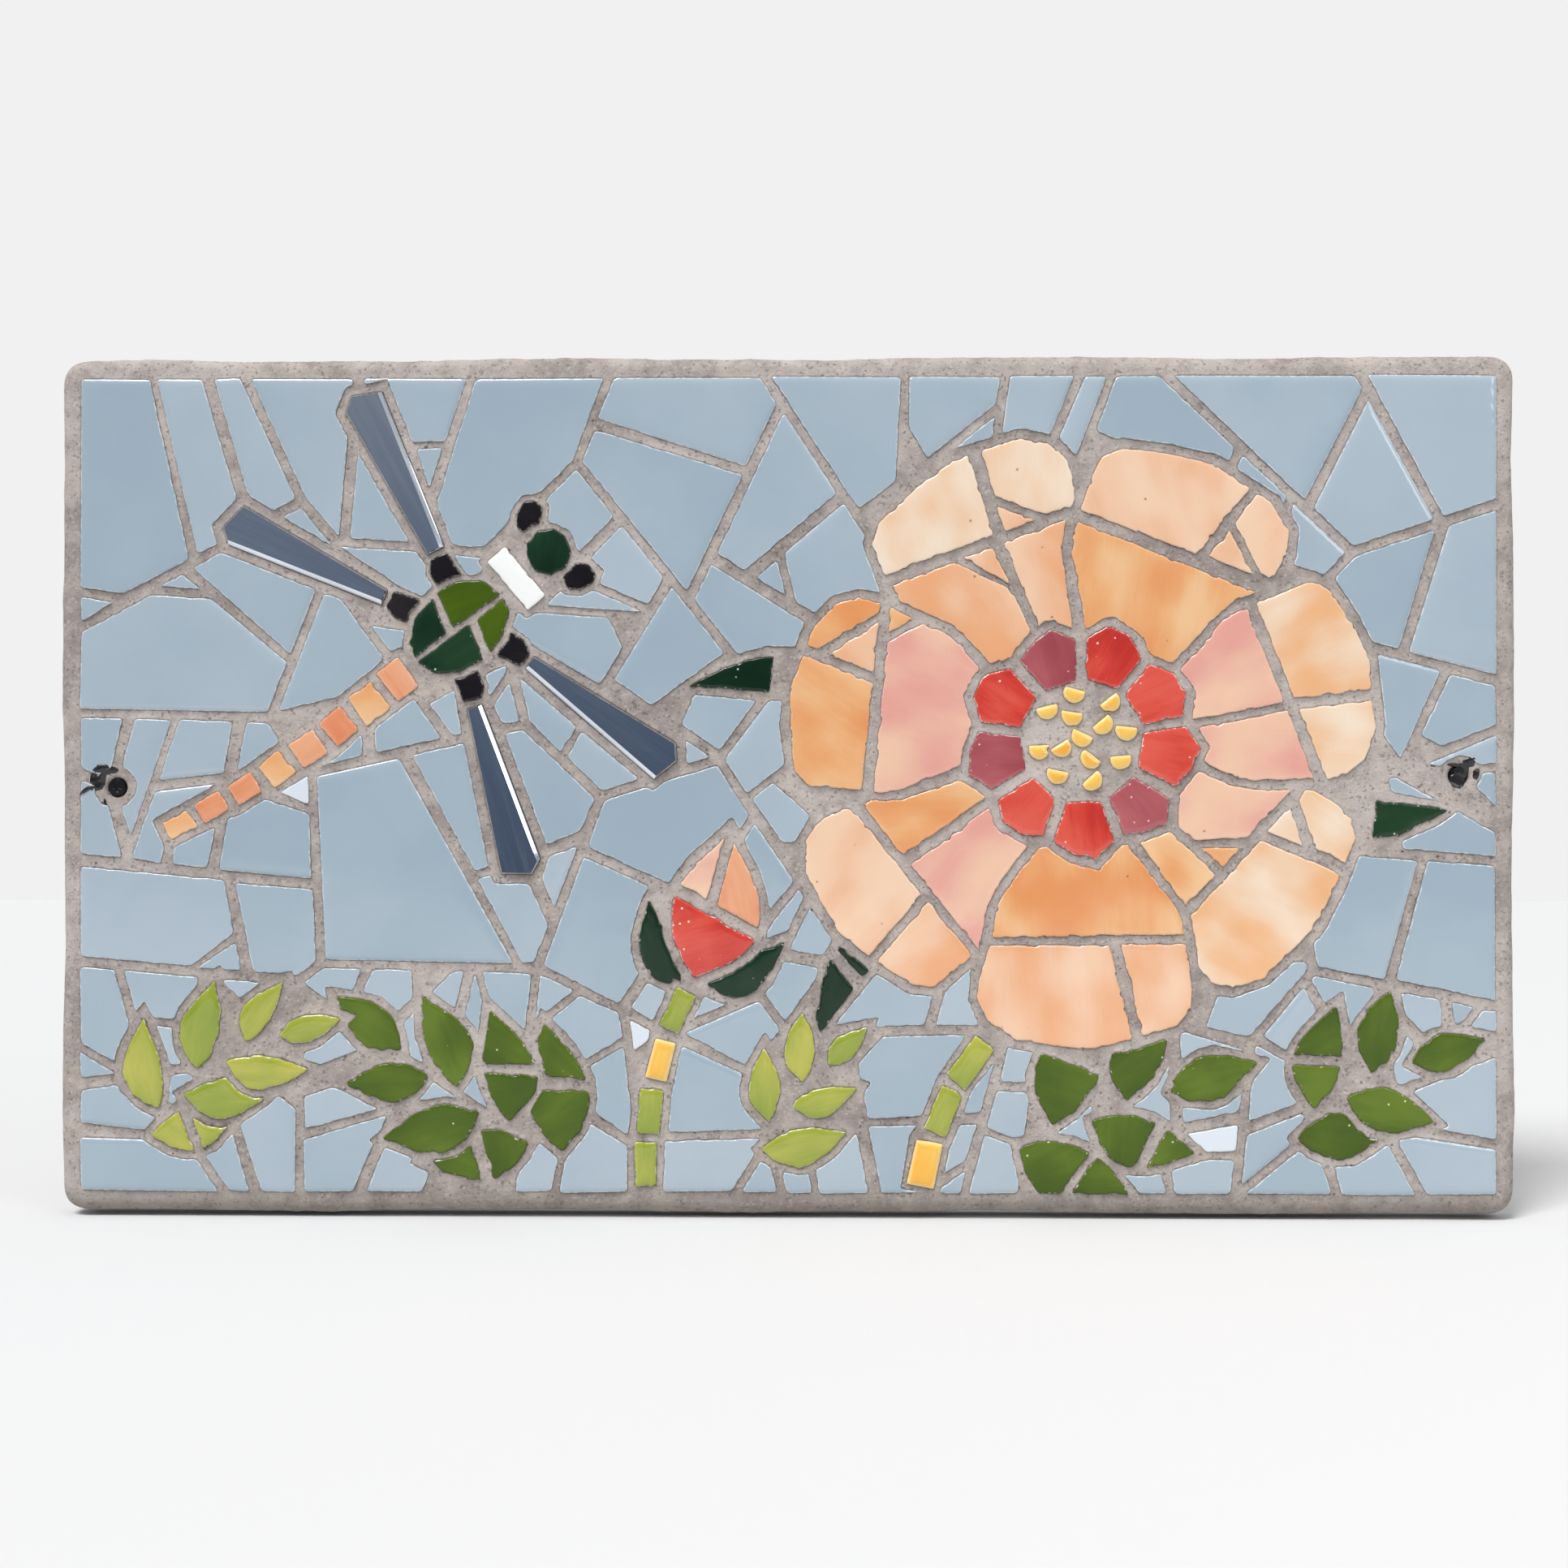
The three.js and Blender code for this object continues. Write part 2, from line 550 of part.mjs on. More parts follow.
function slabBlank() {
  const { width, height, depth, rim, rimSteps } = SLAB;
  const bevel = { bevelThickness: rim, bevelSize: rim, bevelOffset: -rim, bevelSegments: rimSteps };
  const whole = new THREE.ExtrudeGeometry(new THREE.Shape(slabOutline()), { depth, ...bevel });
  const behind = new THREE.BoxGeometry(2 * width, 2 * height, 4 * rim).translate(0, 0, -2 * rim);
  return solid(whole.translate(0, 0, -rim)).subtract(solid(behind));
}

/** A round turned solid that points along Z, from [radius, height] steps that start and end on the axis. */
function turned(profile, x, y) {
  const lathe = new THREE.LatheGeometry(profile.map(([r, z]) => point(r, z)), SCREW.sides);
  return lathe.rotateX(Math.PI / 2).translate(x, y, 0);
}

function screwGeometry(x, y) {
  const { head, headHeight, shank, short, recess } = SCREW;
  const seat = SLAB.depth - recess + TILE.clearance;
  return turned([[0, short], [shank, short], [shank, seat], [head, seat], [head, seat + 0.6 * headHeight],
    [0.6 * head, seat + headHeight], [0, seat + headHeight]], x, y);
}

function screwHole(x, y) {
  const { head, shank, recess, reach, flare } = SCREW;
  const [bore, wide] = [shank + TILE.clearance, head + reach];
  const [seat, top] = [SLAB.depth - recess, SLAB.depth + PAST];
  const profile = [[0, -PAST], [bore, -PAST], [bore, seat], [wide, seat], [wide + flare, top], [0, top]];
  return solid(turned(profile, x, y));
}

function mesh(name, geometry, { colour, roughness = 0.18, metalness = 0 }) {
  const color = new THREE.Color(...colour);
  const made = new THREE.Mesh(geometry, new THREE.MeshStandardMaterial({ color, roughness, metalness }));
  made.name = name;
  return made;
}

/** A cut solid as a three.js geometry. */
function geometryOf(cut) {
  const { vertProperties, triVerts } = cut.getMesh();
  const geometry = new THREE.BufferGeometry();
  geometry.setAttribute("position", new THREE.BufferAttribute(vertProperties, 3));
  return geometry.setIndex(new THREE.BufferAttribute(triVerts, 1));
}

laySeeds();
layHeart();
layPetals();
layDragonfly();
layStems();
layBud();
layLeaves();
laySky();

const panel = new THREE.Group();
const face = SLAB.depth;
const bed = face - TILE.embed;
const top = (stock) => face + STOCKS[stock].stand;
tiles.sort((a, b) => b.rank - a.rank);
const separate = tiles.slice(0, SEPARATE_TILES);
const fused = tiles.slice(SEPARATE_TILES);
const used = new Map();
for (const { group, stock, outline } of separate) {
  const number = (used.get(`${group}_${stock}`) ?? 0) + 1;
  used.set(`${group}_${stock}`, number);
  const name = group === stock ? `${group}_${number}` : `${group}_${stock}_${number}`;
  panel.add(mesh(name, upright(outline, bed + TILE.clearance, top(stock)), STOCKS[stock]));
}

const screws = [["left", -SCREW.x, SCREW.left], ["right", SCREW.x, SCREW.right]];
const holes = screws.map(([, x, y]) => screwHole(x, y));
const pockets = separate.map(({ outline }) => plate(grown(outline, TILE.clearance), bed, face + PAST));
const raised = fused.map(({ stock, outline }) => plate(outline, bed, top(stock)));
const slab = union([slabBlank().subtract(union([...pockets, ...holes])), ...raised]);
panel.add(mesh("mortar_slab", geometryOf(slab), MORTAR));
for (const [side, x, y] of screws)
  panel.add(mesh(`fixing_screw_${side}`, screwGeometry(x, y), BLACKED_STEEL));

panel.rotation.x = Math.PI / 2;
const plaque = new THREE.Group();
plaque.add(panel);

export default plaque;
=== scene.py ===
"""The looks of a mosaic wall plaque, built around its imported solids.

Outlines are worked on in millimetres as seen from the front: x to the right, z up and `out` towards the
viewer, measured from the wall. Every piece is turned into metres in the part's own frame at the end.
"""

import json
import math
from dataclasses import dataclass

import bpy
import numpy as np
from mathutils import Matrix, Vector
from mathutils.bvhtree import BVHTree
from mathutils.geometry import delaunay_2d_cdt
from mathutils.kdtree import KDTree


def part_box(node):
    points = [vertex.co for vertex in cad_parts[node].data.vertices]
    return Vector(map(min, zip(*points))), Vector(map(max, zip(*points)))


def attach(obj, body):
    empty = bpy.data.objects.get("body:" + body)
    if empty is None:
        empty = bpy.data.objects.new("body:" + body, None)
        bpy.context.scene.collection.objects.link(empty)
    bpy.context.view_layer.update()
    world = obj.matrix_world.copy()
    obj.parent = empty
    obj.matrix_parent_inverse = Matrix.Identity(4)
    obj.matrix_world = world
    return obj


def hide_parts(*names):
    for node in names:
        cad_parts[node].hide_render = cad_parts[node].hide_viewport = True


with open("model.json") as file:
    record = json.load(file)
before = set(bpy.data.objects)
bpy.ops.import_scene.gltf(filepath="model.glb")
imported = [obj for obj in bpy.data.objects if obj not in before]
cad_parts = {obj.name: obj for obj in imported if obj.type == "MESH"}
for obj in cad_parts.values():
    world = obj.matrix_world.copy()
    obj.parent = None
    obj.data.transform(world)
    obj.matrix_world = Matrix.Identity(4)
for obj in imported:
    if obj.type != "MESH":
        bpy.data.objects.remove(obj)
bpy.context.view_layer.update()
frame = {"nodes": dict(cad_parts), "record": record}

MM = 0.001
BODY = "root"
SLAB_NODE = "mortar_slab"
SLOTS = {part["node"]: part["material_slot"] for part in frame["record"]["subparts"]}
BOXES = {node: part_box(node) for node in SLOTS}
LOW = Vector(min(low[axis] for low, _ in BOXES.values()) for axis in range(3))
HIGH = Vector(max(high[axis] for _, high in BOXES.values()) for axis in range(3))

# How far each tile stock stands above the joint plane in the solids.
STAND = {
    "sky": 1.3, "cream": 0.9, "peach": 1.0, "pink": 1.1, "orange": 0.8, "salmon": 1.2, "red": 1.4,
    "crimson": 0.7, "yellow": 2.2, "lime": 1.7, "leaf": 1.5, "dark_green": 1.6, "black": 1.8, "white": 1.9,
    "mirror": 2.0,
}
FACE = -BOXES["sky_1"][0].y / MM - STAND["sky"]  # the joint plane, measured from the wall
EMBED = 4.6  # how deep a tile sits below the joint plane
AWAY = 9.0  # the traits "edge" and "gap" where no edge is near
SLICE = 2000  # how many points are measured at a time


# ---- Noise and outlines ----


def hashed(x, z, seed):
    """A repeatable number from -1 to 1 for each pair of whole numbers."""
    mixed = (x * 374761393 + z * 668265263 + seed * 974634777) & 0xFFFFFFFF
    mixed = ((mixed ^ (mixed >> 13)) * 1274126177) & 0xFFFFFFFF
    return ((mixed ^ (mixed >> 16)) & 0xFFFF) / 32767.5 - 1


def noise(points, size, seed=0):
    """Smooth noise from -1 to 1, whose bumps are about `size` millimetres apart."""
    scaled = np.asarray(points, float) / size
    cell = np.floor(scaled).astype(np.int64)
    t = scaled - cell
    t = t * t * (3 - 2 * t)
    total = np.zeros(len(scaled))
    for dx in (0, 1):
        for dz in (0, 1):
            weight = np.abs(1 - dx - t[:, 0]) * np.abs(1 - dz - t[:, 1])
            total += weight * hashed(cell[:, 0] + dx, cell[:, 1] + dz, seed)
    return total


def layered(points, size, layers, seed=0):
    """Noise in layers, each half the size and 0.55 of the height of the one before."""
    return sum(noise(points, size / 2**k, seed + k) * 0.55**k for k in range(layers))


def mixed_noise(points, parts, seed):
    """The sum of some noises, each given as (size, height)."""
    return sum(height * noise(points, size, seed + k) for k, (size, height) in enumerate(parts))


def outward(outline):
    """Unit normals out of a counter-clockwise outline, at each of its points."""
    along = np.roll(outline, -1, axis=0) - np.roll(outline, 1, axis=0)
    normal = np.stack([along[:, 1], -along[:, 0]], axis=1)
    return normal / np.maximum(np.linalg.norm(normal, axis=1, keepdims=True), 1e-9)


def resampled(outline, pitch):
    """The outline with points about `pitch` apart, and the number of each one's edge."""
    points = []
    edges = []
    for i, start in enumerate(outline):
        end = outline[(i + 1) % len(outline)]
        count = max(1, round(np.linalg.norm(end - start) / pitch))
        for k in range(count):
            points.append(start + (end - start) * k / count)
            edges.append(i)
    return np.array(points), np.array(edges)


def softened(outline, times=1):
    """The outline with its corners rounded off over its nearest points."""
    for _ in range(times):
        outline = (np.roll(outline, 1, axis=0) + 2 * outline + np.roll(outline, -1, axis=0)) / 4
    return outline


def circle(centre, radius, count):
    """Points around a circle, counter-clockwise."""
    turns = np.linspace(0, 2 * math.pi, count, endpoint=False)
    return centre + radius * np.column_stack([np.cos(turns), np.sin(turns)])


def signed_area(outline):
    """An outline's area, positive if it runs counter-clockwise."""
    after = np.roll(outline, -1, axis=0)
    return ((outline[:, 0] * after[:, 1]) - (outline[:, 1] * after[:, 0])).sum() / 2


def in_slices(measure):
    """The same measure, taken of some points at a time to save memory."""

    def sliced(points, *others):
        parts = np.array_split(points, 1 + len(points) // SLICE)
        return np.concatenate([measure(part, *others) for part in parts])

    return sliced


@in_slices
def edge_distance(points, starts, ends):
    """How far each point is from the nearest of some edges, or a metre if there are none."""
    if not len(starts):
        return np.full(len(points), 1 / MM)
    along = ends - starts
    length2 = np.maximum((along**2).sum(1), 1e-9)
    offset = points[:, None, :] - starts[None, :, :]
    t = np.clip((offset * along).sum(2) / length2, 0, 1)
    gap = offset - t[:, :, None] * along
    return np.sqrt((gap**2).sum(2).min(1))


@in_slices
def inside(points, outline):
    """Which points lie inside an outline."""
    starts, ends = outline, np.roll(outline, -1, axis=0)
    px, pz = points[:, 0][:, None], points[:, 1][:, None]
    crosses = (starts[:, 1] > pz) != (ends[:, 1] > pz)
    rise = np.where(ends[:, 1] == starts[:, 1], 1e-9, ends[:, 1] - starts[:, 1])
    at = starts[:, 0] + (pz - starts[:, 1]) * (ends[:, 0] - starts[:, 0]) / rise
    return (crosses & (px < at)).sum(1) % 2 == 1


def inside_any(points, outlines):
    """Which points lie inside one of several outlines."""
    found = np.zeros(len(points), bool)
    for outline in outlines:
        near = np.flatnonzero(((points > outline.min(0)) & (points < outline.max(0))).all(1))
        found[near[inside(points[near], outline)]] = True
    return found


def honeycomb(low, high, pitch):
    """Points in staggered rows over a rectangle."""
    rows = []
    for k, z in enumerate(np.arange(low[1], high[1], pitch * math.sqrt(3) / 2)):
        x = np.arange(low[0] + (k % 2) * pitch / 2, high[0], pitch)
        rows.append(np.column_stack([x, np.full(len(x), z)]))
    return np.vstack(rows)


def triangulated(outline, inner):
    """Triangles over an outline and points inside it: all the points, and each triangle's corners.

    The library's triangles fill the whole hull, so those that lie outside the outline are dropped.
    """
    around = len(outline)
    given = [Vector(p) for p in np.vstack([outline, inner])]
    points, _, faces, came_from, *_ = delaunay_2d_cdt(given, [], [list(range(around))], 1, 1e-5, True)
    points = np.array([tuple(p) for p in points])
    corners = np.array(faces)
    rim = np.array([min(olds, default=around) < around for olds in came_from])
    doubtful = rim[corners].all(1)
    kept = ~doubtful
    kept[doubtful] = inside(points[corners[doubtful]].mean(1), outline)
    return points, [tuple(corner) for corner in corners[kept].tolist()]


def boundary_loops(faces):
    """The loops of edges that only one face has, in the faces' own direction, longest first."""
    edges = {(face[k - 1], face[k]) for face in faces for k in range(len(face))}
    follows = {a: b for a, b in edges if (b, a) not in edges}
    loops = []
    while follows:
        start = next(iter(follows))
        loop = []
        while start in follows:
            loop.append(start)
            start = follows.pop(start)
        loops.append(loop)
    return sorted(loops, key=len, reverse=True)


def band(upper, lower):
    """The faces between two rings of point numbers, the lower one nearer the wall."""
    upper, lower = list(upper), list(lower)
    corners = zip(upper, upper[1:] + upper[:1], lower, lower[1:] + lower[:1])
    return [(b, a, c, d) for a, b, c, d in corners]


def skin(rings):
    """A closed skin through rings of points, from the front to the back: its points and faces."""
    around = len(rings[0])
    numbers = np.arange(around * len(rings)).reshape(len(rings), around).tolist()
    faces = [tuple(numbers[0])]
    for upper, lower in zip(numbers, numbers[1:]):
        faces += band(upper, lower)
    faces.append(tuple(reversed(numbers[-1])))
    return np.vstack(rings), faces


def at_height(points, out):
    """Points (x, z) as (x, z, out), with a height each or one for all."""
    return np.column_stack([points, np.broadcast_to(out, len(points))])


# ---- Reading the solids ----

SQUARE_ON = 0.999  # how squarely a flat face looks out of the wall or into it
SAME_HEIGHT = 0.04


def flat_outlines(node, facing):
    """A solid's flat faces that look out of the wall (1) or into it (-1), as (outline, out)."""
    data = frame["nodes"][node].data
    data.calc_loop_triangles()
    corners = np.array([v.co for v in data.vertices]) / MM
    seen = {}
    welded = [seen.setdefault(tuple(np.round(c, 2)), i) for i, c in enumerate(corners)]
    levels = {}
    for triangle in data.loop_triangles:
        if -triangle.normal.y * facing > SQUARE_ON:
            face = [welded[v] for v in triangle.vertices]
            levels.setdefault(round(-corners[face[0]][1], 2), []).append(face)
    found = []
    for out, faces in levels.items():
        for loop in boundary_loops(faces):
            outline = corners[loop][:, [0, 2]]
            found.append((outline if facing > 0 else outline[::-1], out))
    return found


@dataclass
class Tile:
    """One shard; the node is empty if it has none of its own."""

    outline: np.ndarray
    stock: str
    node: str
    number: int


def read_tiles():
    """Every shard: the nodes of their own, and the raised islands of the slab."""
    tiles = []
    for node, stock in sorted(SLOTS.items()):
        if stock in STAND:
            outline, _ = flat_outlines(node, 1)[0]
            tiles.append(Tile(outline, stock, node, len(tiles)))
    for outline, out in sorted(flat_outlines(SLAB_NODE, 1), key=lambda found: tuple(found[0].mean(0))):
        stock = next((s for s, stand in STAND.items() if abs(FACE + stand - out) < SAME_HEIGHT), None)
        if stock and signed_area(outline) > 0:
            tiles.append(Tile(outline, stock, "", len(tiles)))
    return tiles


def screw_places():
    """The middle of each fixing screw, as (x, z)."""
    places = {}
    for node in SLOTS:
        if node.startswith("fixing_screw"):
            low, high = BOXES[node]
            places[node] = np.array([low.x + high.x, low.z + high.z]) / 2 / MM
    return places


# ---- How each tile stock is cut and shaped, in millimetres ----


@dataclass
class Cut:
    """How a stock's shards are cut, and how their faces fall away towards the edges."""

    ragged: float  # how far a nipped edge wanders
    cushion: tuple  # width and drop of the soft edge that the glaze was fired with
    bite: float = 0.0  # how deep its small chips are
    arris: float = 0.25  # the blunted corner of a broken edge
    waves: float = 0.06  # how far the face undulates
    pitch: float = 0.7  # how far apart the rim's points are
    fired_only: bool = False  # whether only the tile's own fired edges are soft


PETAL = Cut(ragged=0.42, cushion=(2.2, 0.22), bite=0.75, arris=0.3, waves=0.12, pitch=0.75)
CUTS = {
    "sky": Cut(ragged=0.2, cushion=(2.6, 0.8), bite=0.3, arris=0.22, waves=0.04, pitch=1.0, fired_only=True),
    "cream": PETAL,
    "peach": PETAL,
    "pink": PETAL,
    "orange": Cut(ragged=0.4, cushion=(2.2, 0.22), bite=0.7, arris=0.3, waves=0.12, pitch=0.75),
    "salmon": Cut(ragged=0.22, cushion=(2.4, 0.45), bite=0.3, arris=0.3, pitch=0.75),
    "red": Cut(ragged=0.34, cushion=(2.0, 0.35), bite=0.6, arris=0.3, waves=0.1, pitch=0.75),
    "crimson": Cut(ragged=0.34, cushion=(2.0, 0.3), bite=0.5, waves=0.08, pitch=0.75),
    "yellow": Cut(ragged=0.14, cushion=(3.4, 1.65), arris=0.1, waves=0.03, pitch=0.6),
    "lime": Cut(ragged=0.3, cushion=(3.2, 0.75), bite=0.4, arris=0.2),
    "leaf": Cut(ragged=0.42, cushion=(1.4, 0.2), bite=0.8),
    "dark_green": Cut(ragged=0.4, cushion=(1.6, 0.25), bite=0.7),
    "black": Cut(ragged=0.25, cushion=(1.4, 0.3), bite=0.3, waves=0.05),
    "white": Cut(ragged=0.3, cushion=(1.8, 0.4), bite=0.3, arris=0.3, waves=0.08),
}
# A sky shard's fired edges: those this near the slab's edge, and a share of those at least this long. They
# keep only a little of a broken edge's wander.
FIRED = {"border": 11.5, "length": 26, "share": 0.42, "wander": 0.12}
WANDER = ((5.5, 0.6), (1.9, 0.5), (1.0, 0.13))  # a broken edge's noises: (size, height) for a raggedness of 1
CHIPS = {"every": 9, "least": 0.7, "most": 2.3, "shallowest": 0.25}  # half widths, and a share of the bite
RIM_ROWS = ((0.28, 1), (0.75, 1), (1.5, 2), (2.6, 3))  # how deep behind the rim, and which points have one
ROW_CLEARANCE = 0.86  # how near a row's points come to any edge, as a share of the row's depth
FILLING = 3.6  # how far apart the face's other points are, and how far from the rim
TILT = 0.16  # how far the edge of a shard is tilted up or down
UNEVEN = 0.12  # how much lower than the others a shard may be set
WAVE_SIZE = 11
GLAZED_SIDE = 0.5  # how far down its side a shard is glazed
PALE = {"area": 170, "share": 0.07}  # some small sky shards are nearly white
FLOWER = np.array([124, 18])  # the flower's middle, which the brush strokes run out from
STROKES_ALONG = ("leaf", "dark_green", "lime", "salmon", "mirror", "yellow")  # along the shard instead
# The ground edge of a mirror strip, on the long side that faces most this way.
BEVEL = {"side": (0.6, -0.8), "width": 1.9, "step": 0.3, "drop": 1.0, "arris": 0.3}
MIRROR = {"sunk": 0.25, "lean": 0.004, "pitch": 0.9}


def is_fired(tile, chance):
    """Which edges of a shard are its tile's own fired edges."""
    if tile.stock != "sky":
        return np.zeros(len(tile.outline), bool)
    after = np.roll(tile.outline, -1, axis=0)
    length = np.linalg.norm(after - tile.outline, axis=1)
    reach = np.array([HIGH.x, HIGH.z]) / MM - FIRED["border"]
    flush = ((np.abs(tile.outline) > reach) & (np.abs(after) > reach)).any(axis=1)
    lucky = (length > FIRED["length"]) & (chance.random(len(length)) < FIRED["share"])
    return flush | lucky


def bitten(outline, normals, depth, chance):
    """How far small chips push each point of an outline inwards."""
    steps = np.linalg.norm(np.roll(outline, -1, axis=0) - outline, axis=1)
    along = np.cumsum(steps)
    push = np.zeros(len(outline))
    for _ in range(int(along[-1] / CHIPS["every"])):
        at, width = chance.uniform(0, along[-1]), chance.uniform(CHIPS["least"], CHIPS["most"])
        near = 1 - np.minimum(np.abs(along - at) / width, 1) ** 2
        push = np.maximum(push, depth * chance.uniform(CHIPS["shallowest"], 1) * np.sqrt(near))
    return -normals * push[:, None]


def rim_of(tile, chance):
    """The shard's outline as it was cut, and which of its points lie on fired edges."""
    cut = CUTS[tile.stock]
    fired_edges = is_fired(tile, chance)
    points, edges = resampled(tile.outline, cut.pitch)
    fired = fired_edges[edges] & fired_edges[edges - (np.roll(edges, 1) != edges)]
    points = softened(points, 2)
    normals = outward(points)
    rough = mixed_noise(points, WANDER, 11 * tile.number)
    sway = normals * (cut.ragged * rough)[:, None] + bitten(points, normals, cut.bite, chance)
    return points + sway * np.where(fired, FIRED["wander"], 1.0)[:, None], fired


def fall(fired_gap, broken_gap, cut):
    """How far the face falls away, by the distances to the nearest fired and broken edges."""
    width, depth = cut.cushion
    gap = fired_gap if cut.fired_only else np.minimum(fired_gap, broken_gap)
    soft = depth * (1 - np.sqrt(1 - (1 - np.minimum(gap / width, 1)) ** 2 * 0.96))
    blunt = cut.arris * (1 - np.minimum(broken_gap / cut.arris, 1)) ** 2
    return soft + blunt


def face_points(rim):
    """Points inside a rim: rows that follow it, and an even filling."""
    after = np.roll(rim, -1, axis=0)
    normals = outward(rim)
    found = []
    for depth, every in RIM_ROWS:
        row = (rim - normals * depth)[::every]
        clear = edge_distance(row, rim, after) > ROW_CLEARANCE * depth
        found.append(row[clear & inside(row, rim)])
    filling = honeycomb(rim.min(0), rim.max(0), FILLING)
    filling = filling[inside(filling, rim)]
    return np.vstack([*found, filling[edge_distance(filling, rim, after) > FILLING]])


def shard(tile):
    """A shard as points, faces, each point's traits, and its rim with the rim's heights."""
    cut = CUTS[tile.stock]
    chance = np.random.default_rng(1000 + tile.number)
    rim, fired = rim_of(tile, chance)
    after = np.roll(rim, -1, axis=0)
    points, faces = triangulated(rim, face_points(rim))

    fired_gap = edge_distance(points, rim[fired], after[fired])
    broken_gap = edge_distance(points, rim[~fired], after[~fired])
    middle = points.mean(0)
    reach = max(np.linalg.norm(points - middle, axis=1).max(), 1)
    lean = chance.normal(0, TILT / reach / 2, 2)
    top = FACE + STAND[tile.stock] - 0.8 * TILT - chance.uniform(0, UNEVEN)
    out = top + (points - middle) @ lean - fall(fired_gap, broken_gap, cut)
    out += cut.waves * noise(points, WAVE_SIZE, tile.number)

    loop = boundary_loops(faces)[0]
    count, around = len(points), len(loop)
    side = at_height(points[loop], out[loop] - GLAZED_SIDE)
    foot = at_height(points[loop], FACE - EMBED)
    solid = np.vstack([at_height(points, out), side, foot])
    side_numbers, foot_numbers = np.arange(count, count + 2 * around).reshape(2, around).tolist()
    faces += band(loop, side_numbers) + band(side_numbers, foot_numbers)
    faces.append(tuple(reversed(foot_numbers)))

    pale = tile.stock == "sky" and signed_area(rim) < PALE["area"] and chance.random() < PALE["share"]
    edge = np.minimum(np.minimum(fired_gap, broken_gap), AWAY)
    traits = {
        "edge": np.concatenate([edge, np.zeros(2 * around)]),
        "tone": np.full(len(solid), 1.0 if pale else 0.9 * chance.random()),
        "side": np.concatenate([np.zeros(count), np.ones(2 * around)]),
        "grain": grain_of(tile, solid[:, :2], chance),
    }
    return solid, faces, traits, (points[loop], out[loop])


def grain_of(tile, points, chance):
    """Places along and across the brush strokes, shifted for each shard."""
    middle = points.mean(0)
    away = middle - FLOWER
    angle = math.atan2(away[1], away[0]) + chance.normal(0, 0.25)
    if tile.stock in STROKES_ALONG:
        around = tile.outline - tile.outline.mean(0)
        angle = math.atan2(*np.linalg.svd(around)[2][0][::-1])
    along = np.array([math.cos(angle), math.sin(angle)])
    across = np.array([-along[1], along[0]])
    shift = chance.uniform(-500, 500)
    local = points - middle
    return np.column_stack([local @ along + shift, local @ across, np.full(len(points), shift)])


def inset_by(outline, distances):
    """An outline with each edge moved inwards by its own distance."""
    ends = np.roll(outline, -1, axis=0)
    along = (ends - outline) / np.linalg.norm(ends - outline, axis=1, keepdims=True)
    inwards = np.column_stack([-along[:, 1], along[:, 0]])
    reach = (inwards * outline).sum(1) + distances
    pairs = np.stack([np.roll(inwards, 1, axis=0), inwards], axis=1)
    return np.linalg.solve(pairs, np.stack([np.roll(reach, 1), reach], axis=1)[..., None])[..., 0]


def mirror_strip(tile):
    """A strip of bevelled mirror: one long side keeps the ground bevel, the others are sharp."""
    chance = np.random.default_rng(1000 + tile.number)
    outline = tile.outline
    along = np.roll(outline, -1, axis=0) - outline
    lengths = np.linalg.norm(along, axis=1)
    facing = (np.column_stack([along[:, 1], -along[:, 0]]) @ np.array(BEVEL["side"])) / lengths
    ground = np.argmax(np.where(lengths > 0.5 * lengths.max(), facing, -2))
    wide = np.where(np.arange(len(outline)) == ground, BEVEL["width"], BEVEL["arris"] * 2)
    top = FACE + STAND["mirror"] - MIRROR["sunk"]
    brink = top - BEVEL["drop"] * 1.1
    rows = [
        (inset_by(outline, wide), top),
        (inset_by(outline, wide * BEVEL["step"]), top - BEVEL["drop"] * 0.6),
        (inset_by(outline, wide * BEVEL["step"] - BEVEL["arris"] / 2), top - BEVEL["drop"] * 0.85),
        (outline, brink),
        (outline, FACE - EMBED),
    ]
    lean = chance.normal(0, MIRROR["lean"], 2)
    middle = outline.mean(0)
    solid, faces = skin([at_height(row, out + (row - middle) @ lean) for row, out in rows])
    traits = {
        "edge": np.repeat([3.0, 1.0, 0.5, 0.0, 0.0], len(outline)),
        "tone": np.full(len(solid), chance.random()),
        "side": np.repeat([0.0, 0.0, 0.0, 1.0, 1.0], len(outline)),
        "grain": grain_of(tile, solid[:, :2], chance),
    }
    rim, _ = resampled(outline, MIRROR["pitch"])
    return solid, faces, traits, (rim, np.full(len(rim), brink))


# ---- Turning points and faces into pieces ----


def make_piece(name, form, material, nodes, smooth=True):
    """A mesh piece from points in millimetres, which stands for the nodes."""
    solid, faces, traits = form
    data = bpy.data.meshes.new(name)
    x, z, out = solid.T
    data.from_pydata((np.column_stack([x, -out, z]) * MM).tolist(), [], faces)
    for trait, values in traits.items():
        kind, field = ("FLOAT_VECTOR", "vector") if values.ndim == 2 else ("FLOAT", "value")
        attribute = data.attributes.new(trait, kind, "POINT")
        attribute.data.foreach_set(field, values.ravel().astype(np.float32))
    data.polygons.foreach_set("use_smooth", np.full(len(data.polygons), smooth))
    data.materials.append(material)
    data.validate()
    piece = bpy.data.objects.new(name, data)
    bpy.context.scene.collection.objects.link(piece)
    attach(piece, BODY)
    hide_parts(*nodes)
    return piece


def joined(forms):
    """Several forms' points, faces and traits as those of one mesh."""
    solids, faces, shift = [], [], 0
    for solid, own_faces, _ in forms:
        solids.append(solid)
        faces += [tuple(v + shift for v in face) for face in own_faces]
        shift += len(solid)
    traits = {trait: np.concatenate([own[trait] for _, _, own in forms]) for trait in forms[0][2]}
    return np.vstack(solids), faces, traits


